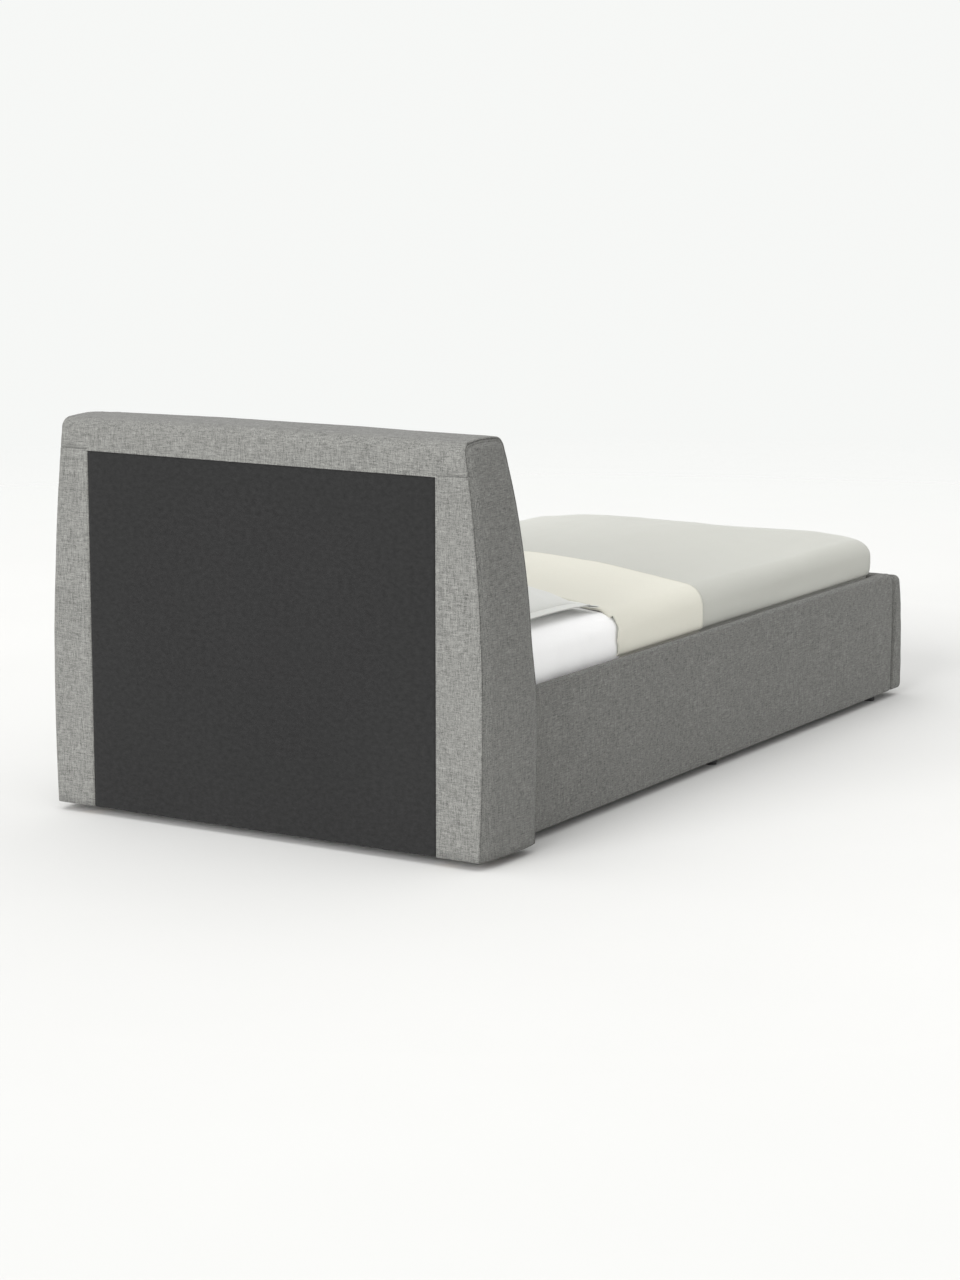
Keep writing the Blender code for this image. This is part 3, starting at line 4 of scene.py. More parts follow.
import bpy
import numpy as np
from bpy.props import FloatProperty, FloatVectorProperty, PointerProperty
from bpy.types import Operator, Panel, PropertyGroup
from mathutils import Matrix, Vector


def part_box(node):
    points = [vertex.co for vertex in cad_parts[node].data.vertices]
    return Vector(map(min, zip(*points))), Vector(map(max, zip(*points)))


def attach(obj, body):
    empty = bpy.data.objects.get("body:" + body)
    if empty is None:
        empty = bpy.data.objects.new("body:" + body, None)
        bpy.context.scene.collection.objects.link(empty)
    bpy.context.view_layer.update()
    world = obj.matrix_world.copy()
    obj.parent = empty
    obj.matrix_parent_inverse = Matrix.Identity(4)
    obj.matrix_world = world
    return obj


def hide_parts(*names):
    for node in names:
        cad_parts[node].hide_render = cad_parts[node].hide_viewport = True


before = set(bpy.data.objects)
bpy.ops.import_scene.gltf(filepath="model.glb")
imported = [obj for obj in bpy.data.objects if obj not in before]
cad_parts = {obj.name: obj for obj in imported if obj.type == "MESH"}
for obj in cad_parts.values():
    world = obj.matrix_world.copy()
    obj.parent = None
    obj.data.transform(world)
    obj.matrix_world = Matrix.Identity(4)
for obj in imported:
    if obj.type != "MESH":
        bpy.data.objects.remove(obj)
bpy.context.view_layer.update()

bl_info = {
    "name": "Storage Bed Dressing",
    "version": (1, 0, 0),
    "blender": (4, 5, 0),
    "location": "View3D > Sidebar > Bed",
    "description": "Upholstery, bedding, wood and metal finishes for a storage bed",
    "category": "Add Mesh",
}

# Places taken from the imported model
COVER_LOW, COVER_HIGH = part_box("headboard_cover")
CLOTH_LOW, CLOTH_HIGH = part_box("headboard_back_cloth")
RAIL_LOW, RAIL_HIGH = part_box("side_rail_cover_right")
FOOT_LOW, FOOT_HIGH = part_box("footboard_cover")
BED_LOW, BED_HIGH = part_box("mattress")
PILLOW_LOW, PILLOW_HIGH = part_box("pillow")
HEM_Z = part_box("duvet")[0][2]
RAIL_TOP_Z = RAIL_HIGH[2]
BOARD_OUT_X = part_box("side_rail_right")[1][0]
BOARD = 0.018
SEAT = 0.0003

# Headboard
BACK_Y = COVER_HIGH[1]
HEAD_Y = COVER_LOW[1]
HEAD_TOP = COVER_HIGH[2]
HEAD_HALF = COVER_HIGH[0]
CLOTH_HALF = CLOTH_HIGH[0] + SEAT
CLOTH_TOP = CLOTH_HIGH[2] + SEAT
CLOTH_HEM = 0.055
CURVE_Z, SET_BACK = 0.121, 0.0640
WIDEST_Z, TAPER = 0.240, 0.044
SHOULDER, FRONT_SHOULDER = 0.026, 0.021
TOP_CROWN = 0.0035
SIDE_PAD = 0.0075
FULLNESS = 0.0055
FLARE = 0.0110
SEAM_RISE, SEAM_WIDTH = 0.0050, 0.0019
# The side edge from the flat over the seam's groove to the side panel:
# in from the side and in from the profile, in edge radii
EDGE_ROLL = np.array([
    (1.00, 0.00), (0.62, 0.06), (0.36, 0.20), (0.20, 0.40), (0.22, 0.62),
    (0.50, 0.84), (0.20, 1.00), (0.04, 1.30), (0.0, 1.8),
])

# Thickness of the cloths and covers
HEADBOARD_WALL = 0.0026
COVER_WALL = 0.0022
LINING_WALL = 0.0007
DUVET_WALL = 0.0045
BAND_WALL = 0.0012
WEBBING_WALL = 0.0017

# Mattress
MATTRESS_CORNER = 0.106
MATTRESS_ROLL = 0.040
MATTRESS_TOP = 0.4551
MATTRESS_CROWN, MATTRESS_REACH = 0.008, 0.120
MATTRESS_FULLER = 0.0080
MATTRESS_UNDER_DUVET = 0.0065

# Duvet and turned-back sheet
FOLD_Y = 0.4255
BAND_END_Y = 0.0047
DUVET_SIDE = 0.0058
DUVET_BULGE = 0.0095
DUVET_SHOULDER = 0.050
DUVET_CORNER = 0.104
DUVET_TOP = 0.4621
DUVET_CROWN, DUVET_REACH = 0.043, 0.440
FOOT_FALL = 0.0075
CORNER_SAG, SAG_REACH = 0.010, 0.150
BAND_LIFT = 0.0036

# Stage: each lamp's name, the direction that it shines from, its width in degrees and its strength
LAMPS = (("key", (0.10, 0.96, 0.27), 40, 3.35), ("top", (0.10, 0.30, 0.95), 50, 0.55))
CAMERA_PLACE = (-3.986, 6.768, 1.687)
BACKGROUND = (0.925, 0.935, 0.92, 1)
FLOOR_RADIUS = 60
FLOOR_FADE = 2.6, 7.0


def color_setting(name, description, default):
    """A colour that a user can change."""
    return FloatVectorProperty(
        name=name, description=description, subtype="COLOR", default=default, min=0, max=1,
    )


def length_setting(name, description, default, low, high):
    """A length in metres that a user can change."""
    return FloatProperty(
        name=name, description=description, unit="LENGTH", default=default, min=low, max=high,
    )


class UpholsterySettings(PropertyGroup):
    """Fabric covers of the headboard, the rails and the footboard."""

    fabric: color_setting("Fabric", "Colour of the covers' yarn", (0.158, 0.158, 0.149))
    fleck: FloatProperty(
        name="Fleck", description="How far single yarns differ from the fabric's colour", subtype="FACTOR",
        default=0.45, min=0, max=1,
    )
    lining: color_setting("Back cloth", "Colour of the headboard's back cloth", (0.0135, 0.0135, 0.0136))
    edge: length_setting("Edge", "Radius of the sewn edge along the side panels", 0.0062, 0.002, 0.02)
    seam: length_setting("Seam", "Depth of the seams", 0.0024, 0.0, 0.005)


class BeddingSettings(PropertyGroup):
    """Mattress, duvet, turned-back sheet and pillow."""

    fitted: color_setting("Fitted sheet", "Colour of the mattress's fitted sheet", (0.96, 0.96, 0.96))
    duvet: color_setting("Duvet", "Colour of the duvet", (0.487, 0.490, 0.450))
    band: color_setting("Turned-back sheet", "Colour of the turned-back sheet", (0.695, 0.682, 0.60))
    pillow: color_setting("Pillow", "Colour of the pillow", (0.70, 0.707, 0.68))
    unevenness: length_setting("Unevenness", "Height of the soft waves in the duvet", 0.0026, 0, 0.01)


class FrameSettings(PropertyGroup):
    """Wood, metal and plastic inside the bed."""

    pine: color_setting("Pine", "Colour of the timber bars", (0.62, 0.44, 0.255))
    birch: color_setting("Birch", "Colour of the slats", (0.70, 0.55, 0.36))
    plywood: color_setting("Plywood", "Colour of the boards", (0.56, 0.41, 0.25))
    steel: color_setting("Powder coat", "Colour of the painted steel", (0.030, 0.031, 0.034))


class StageSettings(PropertyGroup):
    """Floor, light and camera."""

    floor: color_setting("Floor", "Colour of the floor", (0.73, 0.73, 0.72))
    lens: FloatProperty(
        name="Lens", description="Focal length in millimetres", default=88.115, min=20, max=200,
    )
    turn: FloatProperty(
        name="Turn", description="The camera's turn about the vertical", subtype="ANGLE",
        default=math.radians(31.272),
    )
    dip: FloatProperty(
        name="Dip", description="How far the camera looks down", subtype="ANGLE",
        default=math.radians(10.164),
    )


# Surfaces as numpy arrays


def ramp(value, start, end):
    """0 before the start, 1 past the end, and straight between them."""
    return np.clip((value - start) / (end - start), 0, 1)


def eased(share):
    """A share that starts and ends level: three times its square less twice its cube."""
    return share * share * (3 - 2 * share)


def hump(value, middle, width):
    """A bell curve of height 1 about a middle."""
    return np.exp(-((value - middle) / width) ** 2)


def rounding(distance, radius):
    """How far a quarter round has fallen at a distance from its outer edge, as a share of its radius."""
    return 1 - np.sqrt(1 - np.clip(1 - distance / radius, 0, 1) ** 2)


def grid_of(x, y, z):
    """Coordinates that broadcast to one grid, as points."""
    return np.stack(np.broadcast_arrays(x, y, z), axis=2)


def ripple(points, length, seed, octaves=3):
    """Smooth unevenness of about -1 to 1: plane waves of random directions.

    Each octave is half as long and half as high as the one before."""
    rng = np.random.default_rng(seed)
    total = np.zeros(points.shape[:-1])
    for octave in range(octaves):
        for _ in range(6):
            way = rng.normal(size=3)
            way *= 2 * np.pi * 2 ** octave * rng.uniform(0.7, 1.3) / length / np.linalg.norm(way)
            total += 0.5 ** octave * np.sin(points @ way + rng.uniform(0, 2 * np.pi))
    return total / 3.2


def lattice(rows, columns, start=0, closed=False):
    """Quads of a grid of points counted row by row; a closed one joins its last column to its first."""
    index = start + np.arange(rows * columns).reshape(rows, columns)
    if closed:
        index = np.concatenate([index, index[:, :1]], axis=1)
    return np.stack([index[:-1, :-1], index[:-1, 1:], index[1:, 1:], index[1:, :-1]], axis=-1).reshape(-1, 4)


def patchwork(grids, closed=()):
    """Points and quads of several grids, with points that coincide made one.

    closed holds the numbers of the closed grids."""
    points = np.concatenate([grid.reshape(-1, 3) for grid in grids])
    quads = []
    start = 0
    for number, grid in enumerate(grids):
        quads.append(lattice(grid.shape[0], grid.shape[1], start, number in closed))
        start += grid.shape[0] * grid.shape[1]
    _, first, place = np.unique(np.round(points, 6), axis=0, return_index=True, return_inverse=True)
    return points[first], place.reshape(-1)[np.concatenate(quads)]


def facing(corner):
    """Normals of quads given by their corners: the cross products of their diagonals."""
    return np.cross(corner[:, 2] - corner[:, 0], corner[:, 3] - corner[:, 1])


def outward(points, quads, inside):
    """Quads turned so that each faces away from a point inside, or from the nearest of several."""
    inside = np.atleast_2d(inside)
    corner = points[quads]
    centre = corner.mean(axis=1)
    nearest = inside[np.linalg.norm(centre[:, None] - inside[None], axis=2).argmin(axis=1)]
    flip = ((centre - nearest) * facing(corner)).sum(axis=1) < 0
    quads = quads.copy()
    quads[flip] = quads[flip][:, ::-1]
    return quads


def swell(points, quads, height):
    """Points moved along their normals by a height each; a normal is the sum of its quads' normals."""
    across = facing(points[quads])
    total = np.zeros_like(points)
    for side in range(4):
        np.add.at(total, quads[:, side], across)
    return points + total / np.maximum(np.linalg.norm(total, axis=1, keepdims=True), 1e-12) * height[:, None]


def mesh_object(name, points, quads, material):
    """An object from arrays; quads with two equal corners become triangles, and thinner ones are left out."""
    same = (quads == np.roll(quads, 1, axis=1)).any(axis=1)
    folded = [list(dict.fromkeys(quad)) for quad in quads[same].tolist()]
    mesh = bpy.data.meshes.new(name)
    mesh.from_pydata(points.tolist(), [], quads[~same].tolist() + [quad for quad in folded if len(quad) == 3])
    mesh.materials.append(material)
    obj = bpy.data.objects.new(name, mesh)
    bpy.context.collection.objects.link(obj)
    return obj


def piece(name, points, quads, material, body, wall=0.0, smooth_from=50):
    """A smooth piece on a body, with edges sharp from an angle on, and a wall that grows inwards."""
    obj = mesh_object(name, points, quads, material)
    obj.data.shade_smooth()
    obj.data.set_sharp_from_angle(angle=math.radians(smooth_from))
    if wall:
        shell = obj.modifiers.new("Wall", "SOLIDIFY")
        shell.thickness = wall
        shell.offset = -1
    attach(obj, body)
    return obj


def coons(left, right, low, high):
    """A patch between four edges: both rulings added, less the bilinear patch of the corners."""
    p = np.linspace(0, 1, low.shape[0])[None, :, None]
    q = np.linspace(0, 1, left.shape[0])[:, None, None]
    ruled = (1 - p) * left[:, None] + p * right[:, None] + (1 - q) * low[None] + q * high[None]
    corners = (1 - q) * ((1 - p) * low[0] + p * low[-1]) + q * ((1 - p) * high[0] + p * high[-1])
    return ruled - corners


def turned(middle, radius, start, end, steps):
    """Points on an arc of a circle, from one angle in degrees to another."""
    turn = np.radians(np.linspace(start, end, steps))
    return np.stack([middle[0] + radius * np.cos(turn), middle[1] + radius * np.sin(turn)], axis=1)


# Headboard


def front_y(z):
    """The front stands upright, then leans back with the cube of the height."""
    return HEAD_Y + SET_BACK * ramp(z, CURVE_Z, HEAD_TOP) ** 3


def half_at(y, z, side):
    """Half the width at a place: a parabola that is widest low down.

    One side is fuller midway up by half a sine wave, and both flare low down towards the front."""
    plain = HEAD_HALF - TAPER * ((z - WIDEST_Z) / (HEAD_TOP - WIDEST_Z)) ** 2
    full = FULLNESS * np.sin(np.pi * ramp(z, 0.15, 0.95)) * (side < 0)
    return plain + full + FLARE * eased(ramp(z, 0.50, 0.30)) * ramp(y, BACK_Y, HEAD_Y)


def settle(points):
    """Points near the headboard's top moved down: a little everywhere, and with the square of x."""
    everywhere, right, left = 0.0020, 0.0080, 0.0025
    fall = everywhere + np.where(points[:, 0] > 0, right, left) * (points[:, 0] / HEAD_HALF) ** 2
    rise = ramp(points[:, 2], CLOTH_HIGH[2] + 0.012, HEAD_TOP)
    return points - (fall * rise)[:, None] * (0, 0, 1)


def headboard_profile():
    """Side view as (y, z) in three runs: up the back, over the top and down the front.

    They meet at the middles of the shoulders."""
    low = COVER_LOW[2]
    crown_z = HEAD_TOP - TOP_CROWN
    rows = np.concatenate([
        np.linspace(low, CLOTH_TOP - 0.012, 40),
        np.linspace(CLOTH_TOP - 0.010, CLOTH_TOP, 5),
        np.linspace(CLOTH_TOP + 0.0010, CLOTH_TOP + 0.010, 12),
        np.linspace(CLOTH_TOP + 0.014, crown_z - SHOULDER, 6),
    ])
    straight = np.stack([np.full_like(rows, BACK_Y), rows], axis=1)
    back_arc = turned((BACK_Y - SHOULDER, crown_z - SHOULDER), SHOULDER, 0, 90, 13)
    turn = np.radians(np.linspace(90, 0, 13))
    arc_z = crown_z - FRONT_SHOULDER * (1 - np.sin(turn))
    front_arc = np.stack([front_y(arc_z) + FRONT_SHOULDER * (1 - np.cos(turn)), arc_z], axis=1)
    across = np.linspace(0, 1, 14)[1:-1]
    top_y = back_arc[-1, 0] + (front_arc[0, 0] - back_arc[-1, 0]) * across
    top = np.stack([top_y, crown_z + TOP_CROWN * np.sin(np.pi * across)], axis=1)
    back = np.concatenate([straight, back_arc[1:7]])
    high = np.concatenate([back_arc[6:], top, front_arc[:7]])
    down = np.linspace(crown_z - FRONT_SHOULDER, low, len(back) - 6)
    front = np.concatenate([front_arc[6:-1], np.stack([front_y(down), down], axis=1)])
    return back, high, front


def inward(line):
    """Unit normals of an open line in the side view, to its left as it runs."""
    along = np.gradient(line, axis=0)
    along /= np.linalg.norm(along, axis=1, keepdims=True)
    return np.stack([-along[:, 1], along[:, 0]], axis=1)


def headboard_band(line, edge):
    """The profile carried across the headboard.

    Its columns are the cloth's window, the strips beside it and the rolled edges."""
    window = np.linspace(-1, 1, 61)
    strip = np.concatenate([np.linspace(0, 1, 14)[1:-1], [0.975]])
    columns = []
    for side in (-1, 1):
        half = half_at(line[:, 0], line[:, 1], side)
        flat = CLOTH_HALF + (half - edge - CLOTH_HALF) * strip[:, None]
        columns.append(side * np.concatenate([flat, half - edge * EDGE_ROLL[:, :1]]))
    middle = CLOTH_HALF * window[:, None] * np.ones(len(line))
    x = np.concatenate([columns[0][::-1], middle, columns[1]])
    level = np.zeros(len(strip) * 2 + len(window))
    depth = np.concatenate([edge * EDGE_ROLL[::-1, 1], level, edge * EDGE_ROLL[:, 1]])
    place = line[None] + inward(line)[None] * depth[:, None, None]
    return np.concatenate([x[..., None], place], axis=2).transpose(1, 0, 2)


def headboard_side(rim, count, side):
    """A Coons patch inside a side seam, padded outwards; count points of the seam run up the back."""
    left, right = rim[:count], rim[::-1][:count]
    top = rim[count - 1:len(rim) - count + 1]
    panel = coons(left, right, np.linspace(left[0], right[0], len(top)), top)
    p = np.linspace(-1, 1, panel.shape[1])[None, :]
    q = np.linspace(0, 1, panel.shape[0])[:, None]
    pad = SIDE_PAD * (1 - p ** 4) * (1 - q ** 12)
    panel[..., 0] = side * (half_at(panel[..., 1], panel[..., 2], side) + pad)
    panel[:, 0], panel[:, -1], panel[-1] = left, right, top
    return panel


def make_headboard(settings):
    """A band carried along the side profile and a Coons patch on each side, merged along the side seams.

    The seam along the back is a groove with a bell-shaped section. The cloth's window is left open."""
    back, high, front = headboard_profile()
    band = headboard_band(np.concatenate([back, high[1:-1], front]), settings.edge)
    groove = hump(band[..., 2], CLOTH_TOP + SEAM_RISE, SEAM_WIDTH) * (np.abs(band[..., 0]) > CLOTH_HALF)
    groove[len(back) + 4:] = 0
    band[..., 1] -= 1.6 * settings.seam * groove
    panels = [headboard_side(band[:, column], len(back), side) for column, side in ((0, -1), (-1, 1))]
    points, quads = patchwork([band, *panels])
    points = settle(points)
    x, y, z = points[quads].mean(axis=1).T
    window = (np.abs(x) < CLOTH_HALF) & (z < CLOTH_TOP) & (y > BACK_Y - 0.004)
    quads = outward(points, quads[~window], (0, BACK_Y - 0.1, 0.4))
    on_back = np.abs(points[:, 1] - BACK_Y) < 1e-4
    aside = np.abs(points[:, 0]) > CLOTH_HALF + 0.004
    pull = hump(points[:, 2], HEAD_TOP - 0.05, 0.10) * aside
    waves = 0.0005 * ripple(points * (1, 1, 0.7), 0.22, 3)
    puckers = 0.0006 * pull * ripple(points * (1, 1.6, 0.8), 0.05, 4)
    slack = 0.0004 * aside * ripple(points, 0.30, 5)
    points = swell(points, quads, np.where(on_back, slack, waves + puckers))
    fabric = fabric_material(settings)
    cover = piece("headboard_upholstery", points, quads, fabric, "frame", HEADBOARD_WALL)
    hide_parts("headboard_cover")


def make_back_cloth(settings):
    """A flat cloth with slack of a fraction of a millimetre, flush with the strips round it.

    Its hem is turned in below."""
    x = np.linspace(CLOTH_LOW[0], CLOTH_HIGH[0], 121)[None, :]
    z = np.linspace(CLOTH_LOW[2], CLOTH_HIGH[2], 121)[:, None]
    grid = grid_of(x, CLOTH_HIGH[1] - 0.0006, z)
    border = 0.06
    aside = ramp(np.abs(x), CLOTH_HIGH[0], CLOTH_HIGH[0] - border)
    share = aside * ramp(z, CLOTH_HIGH[2], CLOTH_HIGH[2] - border)
    grid[..., 1] += 0.0005 * share * ripple(grid * (1, 1, 2.2), 0.5, 11)
    hem = np.repeat(grid[:1], 5, axis=0)
    hem[..., 1] -= CLOTH_HEM * np.linspace(1, 0, 6)[:-1, None]
    points, quads = patchwork([np.concatenate([hem, grid])])
    quads = outward(points, quads, (0, BACK_Y - 0.10, 0.5))
    lining = lining_material(settings)
    cloth = piece("headboard_lining", points, quads, lining, "frame", LINING_WALL)
    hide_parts("headboard_back_cloth")


# Rails and footboard


def make_rails(settings):
    """A sewn strip carried along each rail: hem, padded outside, cap and inside flap.

    Towards the foot end it falls and tucks in by quarter rounds, and a Coons patch closes it there."""
    out_x, in_x = RAIL_HIGH[0], RAIL_LOW[0]
    low, top = RAIL_LOW[2], RAIL_TOP_Z
    foot_y, head_y = RAIL_LOW[1], RAIL_HIGH[1]
    hem_x, round_low, round_out, round_in = out_x - 0.020, 0.006, 0.009, 0.005
    cap_z = top - 0.0058 - round_in
    flap_z = top - 0.066
    reach, fall_z, tuck_y = 0.027, 0.045, 0.007
    hem = np.linspace((hem_x, low), (out_x - round_low, low), 4)[:-1]
    pad_low = turned((out_x - round_low, low + round_low), round_low, -90, 0, 6)
    wall = np.linspace((out_x, low + round_low), (out_x, top - round_out), 33)[1:-1]
    cap_out = turned((out_x - round_out, top - round_out), round_out, 0, 90, 8)
    cap_in = turned((in_x + round_in, cap_z), round_in, 75, 180, 7)
    flap = np.linspace((in_x, cap_z), (in_x, flap_z), 9)[1:]
    line = np.concatenate([hem, pad_low, wall, cap_out, cap_in, flap])
    turn = np.linspace(0, np.pi / 2, 16)
    bend = np.concatenate([tuck_y * (1 - np.cos(turn[:-4:2])), reach * (1 - np.cos(turn[8:]))])
    straight = np.linspace(foot_y + reach + 0.008, head_y, 150)
    along = np.concatenate([np.unique(foot_y + bend), straight])[:, None]
    drop = fall_z * rounding(along - foot_y, reach)
    tuck = tuck_y * rounding(along - foot_y, tuck_y)
    x, z = line[:, 0] + 0 * along, line[:, 1] + 0 * along
    lower = 0.0058 * ramp(along, head_y, foot_y) ** 3
    outer = 1 - ramp(x, out_x - round_out, in_x + round_in)
    z -= ramp(z, flap_z, top - round_out) * (drop + lower * outer)
    outside = ramp(x, out_x - 0.012, out_x)
    x += outside * (0.0012 * np.sin(np.pi * ramp(z, low, top)) - 1.4 * tuck)
    strip = grid_of(x, along, z)
    rim = strip[0]
    first = len(hem) + len(pad_low) + len(wall)
    last = first + len(cap_out)
    left, over, rest = rim[len(hem):first + 4], rim[first + 3:last + 4], rim[last + 3:]
    bottom = rest[-1] * (1, 1, 0) + (0, 0, low)
    right = np.concatenate([rest, np.linspace(rest[-1], bottom, len(left) - len(rest) + 1)[1:]])[::-1]
    closing = coons(left, right, np.linspace(left[0], right[0], len(over)), over)
    plain_points, plain_quads = patchwork([strip, closing])
    plain_quads = outward(plain_points, plain_quads, ((BOARD_OUT_X - BOARD - SEAT + out_x) / 2, 0, 0.2))
    shown = plain_points[:, 0] > out_x - 0.004
    for label, side in (("left", -1), ("right", 1)):
        waves = 0.0007 * ripple(plain_points * (1, 0.5, 1), 0.30, 21 + side)
        dents = 0.0003 * ripple(plain_points * (1, 0.6, 1), 0.06, 24)
        points = swell(plain_points, plain_quads, shown * (waves + dents)) * (side, 1, 1)
        quads = plain_quads[:, ::side]
        fabric = fabric_material(settings)
        cover = piece("rail_upholstery_" + label, points, quads, fabric, "frame", COVER_WALL)
        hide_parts("side_rail_cover_" + label)


def slab_top(half_x, low_y, high_y, radius, across, along, head_square=False):
    """Plan of a rounded rectangle as a grid: concentric rings whose corners are rounder further out.

    head_square leaves the corners at the head end square."""
    half_y = (high_y - low_y) / 2
    x, y = np.meshgrid(across * half_x, along * half_y)
    k = np.maximum(np.maximum(np.abs(x) / half_x, np.abs(y) / half_y), 1e-9)
    bend = radius * k ** 2
    gap_x, gap_y = half_x * k - np.abs(x), half_y * k - np.abs(y)
    near = (gap_x < bend) & (gap_y < bend)
    if head_square:
        near &= y < 0
    turn = np.pi / 4 * (1 + (gap_x - gap_y) / bend)
    side_x, side_y = np.where(x < 0, -1, 1), np.where(y < 0, -1, 1)
    x = np.where(near, side_x * (half_x * k - bend + bend * np.cos(turn)), x)
    y = np.where(near, side_y * (half_y * k - bend + bend * np.sin(turn)), y)
    return x, y + (low_y + high_y) / 2


def rim_of(grid, open_head=False):
    """The grid's outline from its high-y, +x corner: down +x, along the low-y end and up -x."""
    loop = [grid[::-1, -1], grid[0, ::-1][1:], grid[1:, 0]]
    if not open_head:
        loop.append(grid[-1, 1:-1])
    return np.concatenate(loop)


def skirt(rim, corner, head_corner, levels):
    """Rows that hang from an outline: each level is (outwards, z).

    Outwards runs square to the straight sides and away from the corners' middles."""
    reach_x = np.abs(rim[:, 0]).max() - corner
    inner_x = np.clip(rim[:, 0], -reach_x, reach_x)
    inner_y = np.clip(rim[:, 1], rim[:, 1].min() + corner, rim[:, 1].max() - head_corner)
    way = np.stack([rim[:, 0] - inner_x, rim[:, 1] - inner_y], axis=1)
    way /= np.maximum(np.linalg.norm(way, axis=1, keepdims=True), 1e-9)
    out, z = np.array(levels).T[:, :, None]
    return grid_of(rim[:, 0] + way[:, 0] * out, rim[:, 1] + way[:, 1] * out, z)


def make_footboard(settings):
    """A padded board, open below: a flat top patch inside a skirt of levels.

    The outside leans in with the square of the height, and a groove runs down beside each rail."""
    out_y, in_y = FOOT_LOW[1], FOOT_HIGH[1]
    half_x, low, top = FOOT_HIGH[0] + 0.0035, FOOT_LOW[2], FOOT_HIGH[2] + 0.0045
    soft, bow, bow_z, crown_z, corner = 0.014, 0.027, 0.140, 0.002, 0.002
    roll_in, roll_up, groove = 0.010, 0.013, 0.0088
    close = np.array([0.988, 0.993, 0.997, 1])
    across = np.concatenate([-close[::-1], np.linspace(-0.98, 0.98, 91), close])
    along = np.concatenate([np.linspace(-1, 0.3, 10), np.linspace(0.36, 1, 13)])
    grid_x, grid_y = slab_top(half_x - soft, out_y + soft, in_y - soft, corner, across, along)
    patch = grid_of(grid_x, grid_y, top - crown_z * np.abs(along[:, None]) ** 3)
    turn = np.radians(np.linspace(0, 90, 10))
    levels = [(soft * math.sin(t), top - crown_z - soft * (1 - math.cos(t))) for t in turn]
    levels += [(soft, z) for z in np.linspace(top - crown_z - soft, low + roll_up, 30)[1:]]
    levels += [(soft - roll_in * (1 - math.cos(t)), low + roll_up * (1 - math.sin(t))) for t in turn[2::2]]
    points, quads = patchwork([patch, skirt(rim_of(patch), corner, corner, levels)], closed=(1,))
    x, z = points[:, 0], points[:, 2]
    points[:, 1] += bow * ramp(z, bow_z, top) ** 2 * ramp(points[:, 1], in_y, out_y)
    beside = ramp(points[:, 1], in_y - 0.020, in_y - 0.012) * ramp(np.abs(x), half_x - 0.020, half_x - 0.010)
    points[:, 0] -= np.sign(x) * groove * eased(beside * ramp(z, low, low + 0.020))
    quads = outward(points, quads, (0, (out_y + in_y) / 2 + 0.004, 0.19))
    shown = ramp(points[:, 1], in_y - 0.012, in_y - 0.022)
    waves = 0.0009 * ripple(points * (0.6, 1, 1), 0.30, 31)
    dents = 0.0003 * ripple(points, 0.06, 32)
    points = swell(points, quads, shown * (waves + dents))
    fabric = fabric_material(settings)
    cover = piece("footboard_upholstery", points, quads, fabric, "frame", COVER_WALL)
    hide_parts("footboard_cover")


# Bedding


def crown(x, y, half_x, low_y, high_y, reach, power=5):
    """Share of a soft slab's crown: a quarter sine of the distance to the edge.

    Places of equal height lie on rounded rings."""
    from_side = np.clip((half_x - np.abs(x)) / reach, 0, 1)
    from_end = np.clip(np.minimum(y - low_y, high_y - y) / reach, 0, 1)
    share = 1 - ((1 - from_side) ** power + (1 - from_end) ** power) ** (1 / power)
    return np.sin(np.pi / 2 * np.clip(share, 0, 1))


def sag(points):
    """Points moved down towards the foot end, most at its corners.

    The fall is in proportion to the height above the rails."""
    aside = np.clip(BED_HIGH[0] - np.abs(points[:, 0]), 0, None)
    ahead = np.clip(points[:, 1] - BED_LOW[1], 0, None)
    at_corner = eased(ramp(np.hypot(aside, ahead) - 0.04, SAG_REACH, 0))
    fall = CORNER_SAG * at_corner + FOOT_FALL * eased(ramp(ahead, 0.60, 0))
    return points - (fall * ramp(points[:, 2], RAIL_TOP_Z, DUVET_TOP))[:, None] * (0, 0, 1)


def draw_in(points):
    """Points of the bedding's sides moved towards the mattress near the fold, where the cloth hangs free."""
    near = ramp(points[:, 1], FOLD_Y - 0.06, FOLD_Y + 0.004) ** 2
    aside = ramp(np.abs(points[:, 0]), 0.465, 0.510)
    wander = 1 + 0.25 * np.sin(90 * points[:, 2])
    return points - (np.sign(points[:, 0]) * 0.0040 * near * aside * wander)[:, None] * (1, 0, 0)


